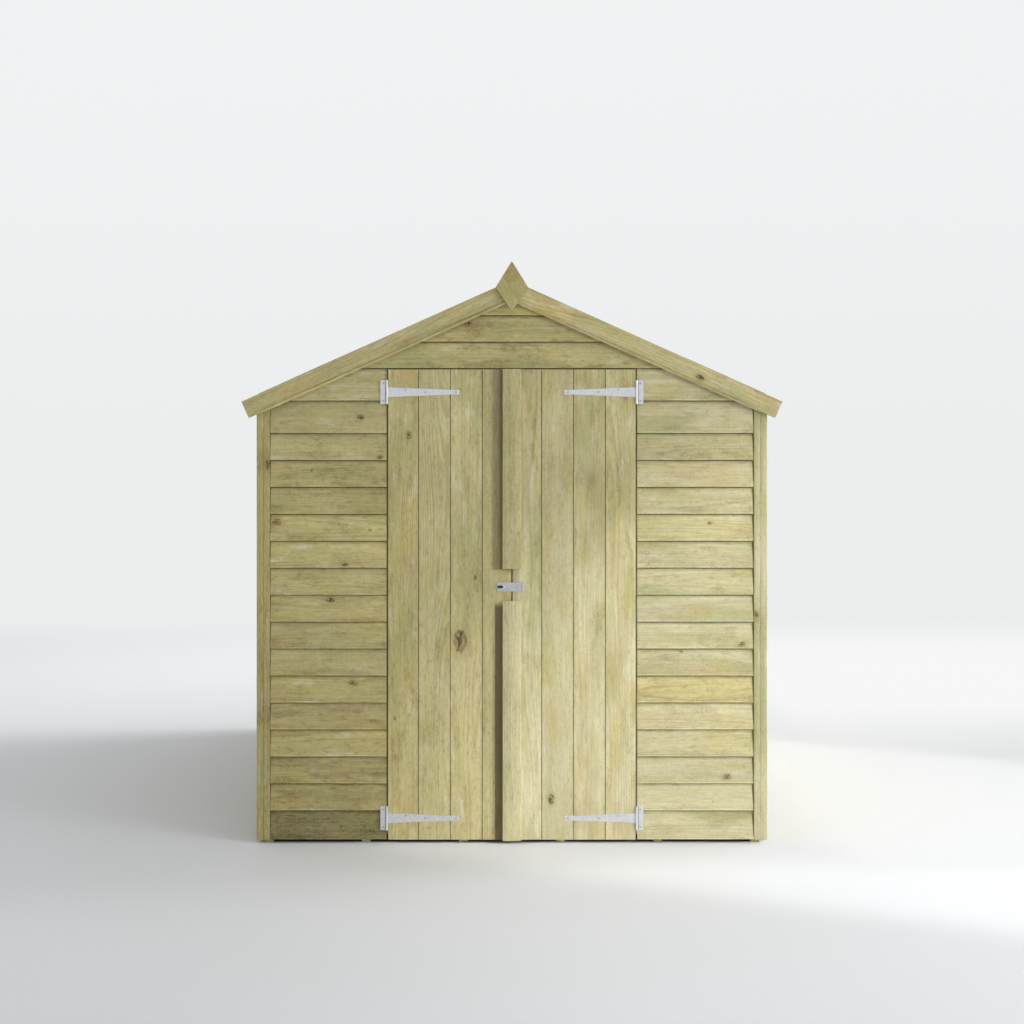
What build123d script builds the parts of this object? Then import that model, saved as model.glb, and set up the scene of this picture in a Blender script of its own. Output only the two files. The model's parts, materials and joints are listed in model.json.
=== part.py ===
from build123d import *
import math
import os

# A timber garden shed with lapped boards, an apex roof and double doors.
# Millimetres. X runs across the front, Y from front to back, Z up.
# The origin is on the ground, under the middle of the shed.
# Depths at a gable are measured outward from the face of that gable's frame.

# Overall frame
FRAME_WIDTH = 1783.6
FRAME_LENGTH = 2406.0
ROOF_RISE = 0.4473
GABLE_HEIGHT = 302.3

# Framing timber
BATTEN_FACE = 44.0
BATTEN_DEPTH = 28.0
APEX_GAP = 0.6

# Floor
BEARER_COUNT = 6
BEARER_WIDTH = 30.0
BEARER_HEIGHT = 30.0
BEARER_INSET = 1.8
FLOOR_THICKNESS = 11.0

# Lapped boards
BOARD_THICKNESS = 7.5
BOARD_LAP = 13.2
BOARD_LAP_GAP = 0.3
BOARD_EXPOSURE = 96.8
BOTTOM_EXPOSURE = 103.8
EAVES_EXPOSURE = 116.6
GABLE_EXPOSURE = 94.8
PLAIN_COURSES = 14
EAVES_COURSES = 2
GABLE_COURSES = 2
BOARD_LEAN = 8.5
BOARDS_FROM_GROUND = 14.0

# Corner strips
CORNER_STRIP_WIDTH = 22.5
CORNER_STRIP_GAP = 3.0
CORNER_STRIP_THICKNESS = BOARD_THICKNESS + BOARD_LEAN
SIDE_STRIP_THICKNESS = 24.6
SIDE_STRIP_WIDTH = 38.0
SIDE_STRIP_GAP = 2.0
STRIP_JOINT_GAP = 0.6

# Wall posts and rails
SIDE_STUD_COUNT = 5
BACK_STUD_POSITION = 300.0
JAMB_LAP = 15.0
HEADER_LAP = 10.0

# Roof
DECK_THICKNESS = 10.0
EAVES_OVERHANG = 16.2
FELT_THICKNESS = 2.0
FELT_TURN_DOWN = 26.0
RIDGE_CAP_REACH = 110.0
RIDGE_CAP_THICKNESS = 2.0
RIDGE_BEAM_HEIGHT = 44.0
PURLIN_POSITION = 450.0
PURLIN_HEIGHT = 44.0

# Barge boards and finials
BARGE_ABOVE_RIDGE = 9.6
BARGE_WIDTH = 63.0
BARGE_THICKNESS = 16.0
BARGE_OVERHANG = 60.0
FINIAL_TOP_ABOVE_PEAK = 67.0
FINIAL_SHOULDER_BELOW_PEAK = 27.0
FINIAL_BOTTOM_BELOW_PEAK = 112.0
FINIAL_WIDTH = 113.6
FINIAL_SIDE_FLAT = 4.0
FINIAL_THICKNESS = 16.0

# Doors
DOOR_OPENING_WIDTH = 900.0
DOOR_EDGE_GAP = 5.0
DOOR_CENTRE_GAP = 6.0
DOOR_HEAD_GAP = 5.0
DOOR_THICKNESS = 12.0
DOOR_BACK_CLEARANCE = 5.0
DOOR_BOARD_WIDTH = 114.4
DOOR_MEETING_BOARD = 103.6
GROOVE_WIDTH = 4.0
GROOVE_DEPTH = 2.0
LEDGE_HEIGHT = 95.0
LEDGE_THICKNESS = 18.0
LEDGE_INSET = 27.0
LOWER_LEDGE_FROM_END = 106.0
UPPER_LEDGE_FROM_END = 81.3
BRACE_WIDTH = 60.0
BRACE_END_GAP = 0.4
COVER_STRIP_WIDTH = 66.0
COVER_STRIP_THICKNESS = 20.0
COVER_STRIP_REBATE = 5.0
COVER_STRIP_BELOW_HASP = 49.1
COVER_STRIP_ABOVE_HASP = 65.2

# Tee hinges
LOWER_HINGE_FROM_END = 77.5
UPPER_HINGE_FROM_END = 81.4
HINGE_PIN_RADIUS = 2.5
HINGE_PIN_CLEARANCE = 0.05
HINGE_KNUCKLE_RADIUS = 4.0
HINGE_METAL = 2.5
HINGE_PLATE_HEIGHT = 86.0
HINGE_PLATE_WIDTH = 24.2
HINGE_KNUCKLE_HEIGHT = 36.0
HINGE_KNUCKLE_GAP = 0.3
HINGE_TURN_ROOM = 0.5
STRAP_ROOT = 35.4
STRAP_TIP = 17.0
STRAP_LENGTH = 259.7
STRAP_TIP_FLAT = 30.0

# Hasp and staple
HASP_FROM_LEAF_END = 906.8
HASP_WIDTH = 32.0
HASP_METAL = 2.0
HASP_LEAF_METAL = 1.5
HASP_LEAF_GAP = 1.0
HASP_PIN_POSITION = 38.6
HASP_PIN_RADIUS = 1.8
HASP_KNUCKLE_RADIUS = 3.5
HASP_FREE_END = -52.0
HASP_KNUCKLE_HEIGHT = 12.0
HASP_CORNER_RADIUS = 6.0
SLOT_END = -48.5
SLOT_START = -25.0
SLOT_HEIGHT = 8.5
STAPLE_LEFT = -43.2
STAPLE_RIGHT = -27.6
STAPLE_WIRE = 4.5
STAPLE_STAND = 19.0
STAPLE_PLATE_LEFT = -53.0
STAPLE_PLATE_RIGHT = -18.0

# Sizes that follow
HALF_WIDTH = FRAME_WIDTH / 2
HALF_LENGTH = FRAME_LENGTH / 2
FLOOR_TOP = BEARER_HEIGHT + FLOOR_THICKNESS
BOARD_FACE = BOARD_THICKNESS + BOARD_LEAN
ROOF_ANGLE = math.atan(ROOF_RISE)
PLUMB = 1.0 / math.cos(ROOF_ANGLE)
RAFTER_DROP = BATTEN_FACE * PLUMB
DOOR_FACE = DOOR_BACK_CLEARANCE + DOOR_THICKNESS
DOOR_SIDE = DOOR_OPENING_WIDTH / 2
JAMB = DOOR_SIDE - JAMB_LAP
LEAF_EDGE = DOOR_SIDE - DOOR_EDGE_GAP
LEAF_MEETING = DOOR_CENTRE_GAP / 2
HINGE_X = DOOR_SIDE - DOOR_EDGE_GAP / 2
HINGE_DEPTH = DOOR_FACE + HINGE_KNUCKLE_RADIUS
DECK_HALF = HALF_WIDTH + EAVES_OVERHANG


def lower_edges(courses):
    """Heights of the boards' lower edges, from the ground up."""
    steps = [BOTTOM_EXPOSURE]
    steps += [BOARD_EXPOSURE] * PLAIN_COURSES
    steps += [EAVES_EXPOSURE] * EAVES_COURSES
    steps += [GABLE_EXPOSURE] * GABLE_COURSES
    heights = [BOARDS_FROM_GROUND]
    for step in steps[: courses - 1]:
        heights.append(heights[-1] + step)
    return heights


SIDE_COURSES = 1 + 1 + PLAIN_COURSES
PANEL_COURSES = SIDE_COURSES + 1
ALL_COURSES = PANEL_COURSES + 1 + GABLE_COURSES
GABLE_BOARDS_FROM = lower_edges(ALL_COURSES)[PANEL_COURSES]
RIDGE_HEIGHT = GABLE_BOARDS_FROM + GABLE_HEIGHT
DOOR_TOP = GABLE_BOARDS_FROM - DOOR_HEAD_GAP
HEADER_BOTTOM = DOOR_TOP - HEADER_LAP
LOWER_LEDGE = BOARDS_FROM_GROUND + LOWER_LEDGE_FROM_END
UPPER_LEDGE = DOOR_TOP - UPPER_LEDGE_FROM_END
LEDGE_CENTRES = (LOWER_LEDGE, (LOWER_LEDGE + UPPER_LEDGE) / 2, UPPER_LEDGE)
HINGE_CENTRES = (BOARDS_FROM_GROUND + LOWER_HINGE_FROM_END, DOOR_TOP - UPPER_HINGE_FROM_END)
HASP_HEIGHT = BOARDS_FROM_GROUND + HASP_FROM_LEAF_END
BARGE_PEAK = RIDGE_HEIGHT + BARGE_ABOVE_RIDGE
BARGE_REACH = DECK_HALF + BARGE_OVERHANG


def deck_underside(x):
    """Height of the roof boards' underside at a distance from the middle."""
    return RIDGE_HEIGHT - ROOF_RISE * abs(x)


def block(x0, x1, y0, y1, z0, z1):
    """A plain rectangular piece between two corners."""
    size = Box(x1 - x0, y1 - y0, z1 - z0, align=(Align.MIN, Align.MIN, Align.MIN))
    return Pos(x0, y0, z0) * size


def prism(points, run):
    """An outline pushed along a straight run."""
    outline = make_face(Polyline(*points, close=True)).face()
    return Solid.extrude(outline, Vector(run))


def front_plate(outline, near, far):
    """An (x, z) outline as a flat piece on the front gable, between two depths."""
    y = -(HALF_LENGTH + far)
    return prism([(x, y, z) for x, z in outline], (0, far - near, 0))


def plan_piece(outline, z0, z1):
    """An (x, depth) outline at the front, seen from above, pushed upward."""
    points = [(x, -(HALF_LENGTH + depth), z0) for x, depth in outline]
    return prism(points, (0, 0, z1 - z0))


def upright_pin(x, depth, radius, z0, z1):
    """An upright round piece in front of the front gable."""
    pin = Cylinder(radius, z1 - z0, align=(Align.CENTER, Align.CENTER, Align.MIN))
    return Pos(x, -(HALF_LENGTH + depth), z0) * pin


def left_and_right(piece):
    """A piece and its mirror image across the middle."""
    return [piece, mirror(piece, about=Plane.YZ)]


def at_back(pieces):
    """The same pieces on the back gable."""
    return [mirror(piece, about=Plane.XZ) for piece in pieces]


def under(limit, pieces):
    """Pieces cut off by the slope of the roof, a plumb drop below the deck."""
    wide = HALF_WIDTH * 2
    top = RIDGE_HEIGHT - limit
    outline = [(-wide, 0), (wide, 0), (wide, top - ROOF_RISE * wide)]
    outline += [(0, top), (-wide, top - ROOF_RISE * wide)]
    room = prism([(x, -FRAME_LENGTH, z) for x, z in outline], (0, 2 * FRAME_LENGTH, 0))
    return [(piece & room).solids()[0] for piece in pieces]


def lapped_profile(edges, top, lapped_top):
    """Section of a run of lapped boards, as (depth, height) points."""
    back = []
    face = []
    for lower, upper in zip(edges, edges[1:] + [top]):
        height = upper - lower + BOARD_LAP
        last = upper == top
        start = lower
        if lower != edges[0]:
            start = lower + BOARD_LAP
        lean_left = BOARD_LEAN * (1 - (start - lower) / height)
        back.append((lean_left, start))
        end = upper if last and not lapped_top else upper + BOARD_LAP
        back.append((BOARD_LEAN * (1 - (end - lower) / height), end))
        face.append((BOARD_FACE, lower))
        face.append((BOARD_LEAN, upper))
    if lapped_top:
        face[-1] = (BOARD_LEAN - BOARD_LAP_GAP, top)
        face.append((BOARD_THICKNESS - BOARD_LAP_GAP, top + BOARD_LAP))
    return back, face


def lapped_outline(edges, top, lapped_top=False):
    """The closed section, up the back of the boards and down their faces."""
    back, face = lapped_profile(edges, top, lapped_top)
    return back + face[::-1]


def front_boards(x0, x1, edges, top, lapped_top=False):
    """Lapped boards across part of the front gable."""
    outline = lapped_outline(edges, top, lapped_top)
    points = [(x0, -(HALF_LENGTH + depth), z) for depth, z in outline]
    return prism(points, (x1 - x0, 0, 0))


def side_boards(y0, y1, edges, top):
    """Lapped boards along the right wall."""
    outline = lapped_outline(edges, top)
    points = [(HALF_WIDTH + depth, y0, z) for depth, z in outline]
    return prism(points, (0, y1 - y0, 0))


def floor_parts():
    """Bearers laid from front to back, and the boards on them."""
    first = -HALF_WIDTH + BEARER_INSET
    spacing = (-2 * first - BEARER_WIDTH) / (BEARER_COUNT - 1)
    bearers = []
    for number in range(BEARER_COUNT):
        low = first + number * spacing
        high = low + BEARER_WIDTH
        bearers.append(block(low, high, -HALF_LENGTH, HALF_LENGTH, 0, BEARER_HEIGHT))
    deck = block(-HALF_WIDTH, HALF_WIDTH, -HALF_LENGTH, HALF_LENGTH, BEARER_HEIGHT, FLOOR_TOP)
    return {"floor_bearers": bearers, "floor_deck": [deck]}


def gable_rafters():
    """The pair of sloping battens that carries the front end of the roof."""
    low = APEX_GAP / 2
    outline = [
        (low, deck_underside(low)),
        (HALF_WIDTH, deck_underside(HALF_WIDTH)),
        (HALF_WIDTH, deck_underside(HALF_WIDTH) - RAFTER_DROP),
        (low, deck_underside(low) - RAFTER_DROP),
    ]
    return left_and_right(front_plate(outline, -BATTEN_DEPTH, 0))


def gable_post(x0, x1, z0):
    """An upright batten in the front gable, up to the rafter."""
    front = -HALF_LENGTH
    post = block(x0, x1, front, front + BATTEN_DEPTH, z0, RIDGE_HEIGHT)
    return under(RAFTER_DROP, [post])[0]


def gable_rail(x0, x1, z0):
    """A level batten in the front gable."""
    front = -HALF_LENGTH
    return block(x0, x1, front, front + BATTEN_DEPTH, z0, z0 + BATTEN_FACE)


def front_frame():
    """Battens round the doorway and the two front panels."""
    corner = HALF_WIDTH - BATTEN_FACE
    jamb_outer = JAMB + BATTEN_FACE
    header_top = HEADER_BOTTOM + BATTEN_FACE
    posts = left_and_right(gable_post(corner, HALF_WIDTH, FLOOR_TOP))
    posts += left_and_right(gable_post(JAMB, jamb_outer, FLOOR_TOP))
    posts.append(gable_post(-BATTEN_FACE / 2, BATTEN_FACE / 2, header_top))
    rails = left_and_right(gable_rail(jamb_outer, corner, FLOOR_TOP))
    rails.append(gable_rail(-JAMB, JAMB, HEADER_BOTTOM))
    return {
        "front_studs": posts,
        "front_rails": rails,
        "front_rafters": gable_rafters(),
    }


def back_frame():
    """Battens of the closed back gable."""
    corner = HALF_WIDTH - BATTEN_FACE
    half = BATTEN_FACE / 2
    rail_top = FLOOR_TOP + BATTEN_FACE
    posts = left_and_right(gable_post(corner, HALF_WIDTH, FLOOR_TOP))
    inner = gable_post(BACK_STUD_POSITION - half, BACK_STUD_POSITION + half, rail_top)
    posts += left_and_right(inner)
    rail = gable_rail(-corner, corner, FLOOR_TOP)
    return {
        "back_studs": at_back(posts),
        "back_rails": at_back([rail]),
        "back_rafters": at_back(gable_rafters()),
    }


def gable_boards():
    """Lapped boards of the two gables, open for the doors at the front."""
    edges = lower_edges(ALL_COURSES)
    reach = HALF_WIDTH - CORNER_STRIP_WIDTH - CORNER_STRIP_GAP
    panel = edges[:PANEL_COURSES]
    right = front_boards(DOOR_SIDE, reach, panel, GABLE_BOARDS_FROM, True)
    right, left = left_and_right(under(0, [right])[0])
    gable = edges[PANEL_COURSES:]
    upper = under(0, [front_boards(-reach, reach, gable, RIDGE_HEIGHT)])[0]
    lower = under(0, [front_boards(-reach, reach, panel, GABLE_BOARDS_FROM, True)])
    return {
        "front_cladding_left": [left],
        "front_cladding_right": [right],
        "front_cladding_gable": [upper],
        "back_cladding": at_back(lower),
        "back_cladding_gable": at_back([upper]),
    }


def side_wall_right():
    """Posts, rails and lapped boards of the right wall."""
    inner = HALF_WIDTH - BATTEN_DEPTH
    end = HALF_LENGTH - BATTEN_DEPTH
    rail_top = FLOOR_TOP + BATTEN_FACE
    top_outer = deck_underside(HALF_WIDTH)
    top_inner = deck_underside(inner)
    top_bottom = top_outer - BATTEN_FACE
    spacing = (2 * end - BATTEN_FACE) / (SIDE_STUD_COUNT - 1)
    studs = []
    for number in range(SIDE_STUD_COUNT):
        y = -end + number * spacing
        studs.append(block(inner, HALF_WIDTH, y, y + BATTEN_FACE, rail_top, top_bottom))
    bottom_rail = block(inner, HALF_WIDTH, -end, end, FLOOR_TOP, rail_top)
    outline = [(inner, top_bottom), (HALF_WIDTH, top_bottom)]
    outline += [(HALF_WIDTH, top_outer), (inner, top_inner)]
    top_rail = prism([(x, -end, z) for x, z in outline], (0, 2 * end, 0))
    reach = HALF_LENGTH - SIDE_STRIP_WIDTH - SIDE_STRIP_GAP
    edges = lower_edges(SIDE_COURSES)
    boards = under(0, [side_boards(-reach, reach, edges, top_outer)])
    return {"studs": studs, "rails": [bottom_rail, top_rail], "cladding": boards}


def side_walls():
    """The right wall, and the left one as its mirror image."""
    nodes = {}
    for kind, pieces in side_wall_right().items():
        nodes["right_wall_" + kind] = pieces
        nodes["left_wall_" + kind] = [mirror(piece, about=Plane.YZ) for piece in pieces]
    return nodes


def corner_strips():
    """Upright strips that cover the boards' ends, two to each corner."""
    front = block(
        HALF_WIDTH - CORNER_STRIP_WIDTH,
        HALF_WIDTH - STRIP_JOINT_GAP,
        -(HALF_LENGTH + CORNER_STRIP_THICKNESS),
        -HALF_LENGTH,
        BOARDS_FROM_GROUND,
        RIDGE_HEIGHT,
    )
    front = under(0, [front])[0]
    side = block(
        HALF_WIDTH,
        HALF_WIDTH + SIDE_STRIP_THICKNESS,
        -HALF_LENGTH,
        -HALF_LENGTH + SIDE_STRIP_WIDTH,
        BOARDS_FROM_GROUND,
        deck_underside(DECK_HALF) - FELT_TURN_DOWN,
    )
    strips = left_and_right(front) + left_and_right(side)
    return {"front_corner_strips": strips, "back_corner_strips": at_back(strips)}


def roof():
    """Roof boards on their beam and purlins, with felt over them."""
    end = HALF_LENGTH + BOARD_FACE
    run = (0, 2 * end, 0)
    deck_rise = DECK_THICKNESS * PLUMB
    felt_rise = FELT_THICKNESS * PLUMB
    cap_rise = RIDGE_CAP_THICKNESS * PLUMB
    eaves = deck_underside(DECK_HALF)
    peak = RIDGE_HEIGHT + deck_rise
    deck = [(APEX_GAP / 2, deck_underside(APEX_GAP / 2)), (DECK_HALF, eaves)]
    deck += [(DECK_HALF, eaves + deck_rise), (APEX_GAP / 2, peak - ROOF_RISE * APEX_GAP / 2)]
    lip = DECK_HALF + FELT_THICKNESS
    eaves_top = eaves + deck_rise
    felt = [
        (APEX_GAP / 2, peak - ROOF_RISE * APEX_GAP / 2),
        (DECK_HALF, eaves_top),
        (DECK_HALF, eaves - FELT_TURN_DOWN + deck_rise),
        (lip, eaves - FELT_TURN_DOWN + deck_rise),
        (lip, eaves_top + felt_rise - ROOF_RISE * FELT_THICKNESS),
        (APEX_GAP / 2, peak + felt_rise - ROOF_RISE * APEX_GAP / 2),
    ]
    cap_peak = peak + felt_rise
    drop = ROOF_RISE * RIDGE_CAP_REACH
    cap = [
        (0, cap_peak),
        (RIDGE_CAP_REACH, cap_peak - drop),
        (RIDGE_CAP_REACH, cap_peak - drop + cap_rise),
        (0, cap_peak + cap_rise),
        (-RIDGE_CAP_REACH, cap_peak - drop + cap_rise),
        (-RIDGE_CAP_REACH, cap_peak - drop),
    ]
    slope_pieces = {}
    for name, outline in {"roof_deck": deck, "roof_felt": felt}.items():
        right = prism([(x, -end, z) for x, z in outline], run)
        right, left = left_and_right(right)
        slope_pieces[name + "_right"] = [right]
        slope_pieces[name + "_left"] = [left]
    ridge_cap = prism([(x, -end, z) for x, z in cap], run)
    slope_pieces["roof_ridge_felt"] = [ridge_cap]
    slope_pieces["roof_beams"] = roof_beams()
    return slope_pieces


def roof_beams():
    """The ridge beam and a purlin under each slope, between the gables."""
    end = HALF_LENGTH - BATTEN_DEPTH
    half = BATTEN_DEPTH / 2
    ridge = block(-half, half, -end, end, RIDGE_HEIGHT - RIDGE_BEAM_HEIGHT, RIDGE_HEIGHT)
    low, high = PURLIN_POSITION - half, PURLIN_POSITION + half
    bottom = deck_underside(high) - PURLIN_HEIGHT
    purlin = block(low, high, -end, end, bottom, RIDGE_HEIGHT)
    ridge, purlin = under(0, [ridge, purlin])
    return [ridge] + left_and_right(purlin)


def barge_boards():
    """Sloping boards that close the roof's front edge, mitred at the peak."""
    low = APEX_GAP / 2
    tip = (BARGE_REACH, BARGE_PEAK - ROOF_RISE * BARGE_REACH)
    heel_x = BARGE_REACH - BARGE_WIDTH * math.sin(ROOF_ANGLE)
    heel = (heel_x, tip[1] - BARGE_WIDTH * math.cos(ROOF_ANGLE))
    drop = BARGE_WIDTH * PLUMB
    outline = [(low, BARGE_PEAK - ROOF_RISE * low), tip, heel]
    outline.append((low, BARGE_PEAK - ROOF_RISE * low - drop))
    face = BOARD_FACE + BARGE_THICKNESS
    boards = left_and_right(front_plate(outline, BOARD_FACE, face))
    half = FINIAL_WIDTH / 2
    flat = FINIAL_SIDE_FLAT / 2
    shoulder = BARGE_PEAK - FINIAL_SHOULDER_BELOW_PEAK
    diamond = [
        (0, BARGE_PEAK + FINIAL_TOP_ABOVE_PEAK),
        (half, shoulder + flat),
        (half, shoulder - flat),
        (0, BARGE_PEAK - FINIAL_BOTTOM_BELOW_PEAK),
        (-half, shoulder - flat),
        (-half, shoulder + flat),
    ]
    finial = front_plate(diamond, face, face + FINIAL_THICKNESS)
    return {
        "front_barge_boards": boards,
        "back_barge_boards": at_back(boards),
        "front_finial": [finial],
        "back_finial": at_back([finial]),
    }


def leaf_outline(face, back):
    """Plan of the right leaf's boards, with a V groove at each joint."""
    joints = [LEAF_MEETING + DOOR_MEETING_BOARD]
    while joints[-1] + DOOR_BOARD_WIDTH < LEAF_EDGE - DOOR_BOARD_WIDTH / 2:
        joints.append(joints[-1] + DOOR_BOARD_WIDTH)
    half = GROOVE_WIDTH / 2
    front = [(LEAF_MEETING, face)]
    rear = [(LEAF_MEETING, back)]
    for x in joints:
        front += [(x - half, face), (x, face - GROOVE_DEPTH), (x + half, face)]
        rear += [(x - half, back), (x, back + GROOVE_DEPTH), (x + half, back)]
    front.append((LEAF_EDGE, face))
    rear.append((LEAF_EDGE, back))
    return front + rear[::-1]


def door_leaf():
    """The right leaf: its boards, and the ledges and braces behind them."""
    boards = plan_piece(
        leaf_outline(DOOR_FACE, DOOR_BACK_CLEARANCE), BOARDS_FROM_GROUND, DOOR_TOP
    )
    low, high = LEAF_MEETING + LEDGE_INSET, LEAF_EDGE - LEDGE_INSET
    back = DOOR_BACK_CLEARANCE - LEDGE_THICKNESS
    framing = []
    for centre in LEDGE_CENTRES:
        bottom, top = centre - LEDGE_HEIGHT / 2, centre + LEDGE_HEIGHT / 2
        outline = [(low, bottom), (high, bottom), (high, top), (low, top)]
        framing.append(front_plate(outline, back, DOOR_BACK_CLEARANCE))
    for lower, upper in zip(LEDGE_CENTRES, LEDGE_CENTRES[1:]):
        foot = lower + LEDGE_HEIGHT / 2 + BRACE_END_GAP
        head = upper - LEDGE_HEIGHT / 2 - BRACE_END_GAP
        outline = [(high - BRACE_WIDTH, foot), (high, foot)]
        outline += [(low + BRACE_WIDTH, head), (low, head)]
        framing.append(front_plate(outline, back, DOOR_BACK_CLEARANCE))
    return boards, framing


def cover_strips():
    """Strips on the right leaf that cover the gap, above and below the hasp."""
    half = COVER_STRIP_WIDTH / 2
    face = DOOR_FACE + COVER_STRIP_THICKNESS
    outline = [
        (-half, DOOR_FACE + COVER_STRIP_REBATE),
        (LEAF_MEETING, DOOR_FACE + COVER_STRIP_REBATE),
        (LEAF_MEETING, DOOR_FACE),
        (half, DOOR_FACE),
        (half, face),
        (-half, face),
    ]
    lower = plan_piece(outline, BOARDS_FROM_GROUND, HASP_HEIGHT - COVER_STRIP_BELOW_HASP)
    upper = plan_piece(outline, HASP_HEIGHT + COVER_STRIP_ABOVE_HASP, DOOR_TOP)
    return [lower, upper]


def hinge_plate(centre):
    """Fixed half of a right tee hinge: plate, two knuckles and the pin."""
    half = HINGE_PLATE_HEIGHT / 2
    inner = HINGE_KNUCKLE_HEIGHT / 2 + HINGE_KNUCKLE_GAP
    outer_x = HINGE_X + HINGE_PLATE_WIDTH
    plate = front_plate(
        [
            (HINGE_X, centre - half),
            (outer_x, centre - half),
            (outer_x, centre + half),
            (HINGE_X, centre + half),
        ],
        BOARD_FACE,
        BOARD_FACE + HINGE_METAL,
    )
    notch = upright_pin(
        HINGE_X,
        HINGE_DEPTH,
        HINGE_KNUCKLE_RADIUS + HINGE_TURN_ROOM + DOOR_FACE - BOARD_FACE,
        centre - inner,
        centre + inner,
    )
    plate = plate - notch
    pieces = [upright_pin(HINGE_X, HINGE_DEPTH, HINGE_PIN_RADIUS, centre - half, centre + half)]
    for low, high in ((centre - half, centre - inner), (centre + inner, centre + half)):
        pieces.append(upright_pin(HINGE_X, HINGE_DEPTH, HINGE_KNUCKLE_RADIUS, low, high))
    for piece in pieces:
        plate = plate + piece
    return plate.solids()[0]


def hinge_strap(centre):
    """Moving half of a right tee hinge: a tapered strap and its knuckle."""
    root, tip = STRAP_ROOT / 2, STRAP_TIP / 2
    far = HINGE_X - STRAP_LENGTH
    shoulder = far + STRAP_TIP_FLAT
    outline = [
        (HINGE_X, centre - root),
        (HINGE_X, centre + root),
        (shoulder, centre + tip),
        (far, centre + tip),
        (far, centre - tip),
        (shoulder, centre - tip),
    ]
    strap = front_plate(outline, DOOR_FACE, DOOR_FACE + HINGE_METAL)
    low, high = centre - HINGE_KNUCKLE_HEIGHT / 2, centre + HINGE_KNUCKLE_HEIGHT / 2
    knuckle = upright_pin(HINGE_X, HINGE_DEPTH, HINGE_KNUCKLE_RADIUS, low, high)
    bore_radius = HINGE_PIN_RADIUS + HINGE_PIN_CLEARANCE
    bore = upright_pin(HINGE_X, HINGE_DEPTH, bore_radius, low, high)
    return ((strap + knuckle) - bore).solids()[0]


def hasp_depths():
    """Depths of the hasp's fixed leaf, its flap and its pin."""
    leaf_face = DOOR_FACE + HASP_LEAF_METAL
    flap_back = leaf_face + HASP_LEAF_GAP
    pin_depth = DOOR_FACE + HASP_KNUCKLE_RADIUS
    return leaf_face, flap_back, pin_depth


def hasp_leaf():
    """Fixed leaf of the hasp on the right leaf, with its knuckles and pin."""
    leaf_face, flap_back, pin_depth = hasp_depths()
    half = HASP_WIDTH / 2
    low, high = HASP_HEIGHT - half, HASP_HEIGHT + half
    inner = HASP_KNUCKLE_HEIGHT / 2 + HINGE_KNUCKLE_GAP
    start = LEAF_MEETING + DOOR_CENTRE_GAP / 2
    outline = [(start, low), (HASP_PIN_POSITION, low)]
    outline += [(HASP_PIN_POSITION, high), (start, high)]
    leaf = front_plate(outline, DOOR_FACE, leaf_face)
    turn = upright_pin(
        HASP_PIN_POSITION,
        pin_depth,
        HASP_KNUCKLE_RADIUS + HINGE_TURN_ROOM,
        HASP_HEIGHT - inner,
        HASP_HEIGHT + inner,
    )
    leaf = leaf - turn
    spans = [(low, HASP_HEIGHT - inner), (HASP_HEIGHT + inner, high)]
    for bottom, top in spans:
        leaf = leaf + upright_pin(HASP_PIN_POSITION, pin_depth, HASP_KNUCKLE_RADIUS, bottom, top)
    leaf = leaf + upright_pin(HASP_PIN_POSITION, pin_depth, HASP_PIN_RADIUS, low, high)
    return leaf.solids()[0]


def hasp_flap():
    """The slotted flap, with its middle knuckle round the pin."""
    leaf_face, flap_back, pin_depth = hasp_depths()
    half = HASP_WIDTH / 2
    low, high = HASP_HEIGHT - half, HASP_HEIGHT + half
    neck = HASP_KNUCKLE_HEIGHT / 2
    shoulder = HASP_PIN_POSITION - HASP_KNUCKLE_RADIUS - HINGE_TURN_ROOM
    outline = [
        (HASP_FREE_END, low),
        (shoulder, low),
        (shoulder, HASP_HEIGHT - neck),
        (HASP_PIN_POSITION, HASP_HEIGHT - neck),
        (HASP_PIN_POSITION, HASP_HEIGHT + neck),
        (shoulder, HASP_HEIGHT + neck),
        (shoulder, high),
        (HASP_FREE_END, high),
    ]
    flap = front_plate(outline, flap_back, flap_back + HASP_METAL)
    corners = flap.edges().filter_by(Axis.Y).group_by(Axis.X)[0]
    flap = fillet(corners, HASP_CORNER_RADIUS)
    centre_x = (SLOT_START + SLOT_END) / 2
    slot_length = SLOT_START - SLOT_END
    slot_face = Plane(
        origin=(centre_x, -(HALF_LENGTH + flap_back + HASP_METAL), HASP_HEIGHT),
        x_dir=(1, 0, 0),
        z_dir=(0, 1, 0),
    ) * SlotOverall(slot_length, SLOT_HEIGHT)
    flap = flap - extrude(slot_face, HASP_METAL)
    span = (HASP_HEIGHT - neck, HASP_HEIGHT + neck)
    flap = flap + upright_pin(HASP_PIN_POSITION, pin_depth, HASP_KNUCKLE_RADIUS, *span)
    bore_radius = HASP_PIN_RADIUS + HINGE_PIN_CLEARANCE
    flap = flap - upright_pin(HASP_PIN_POSITION, pin_depth, bore_radius, *span)
    return flap.solids()[0]


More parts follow.
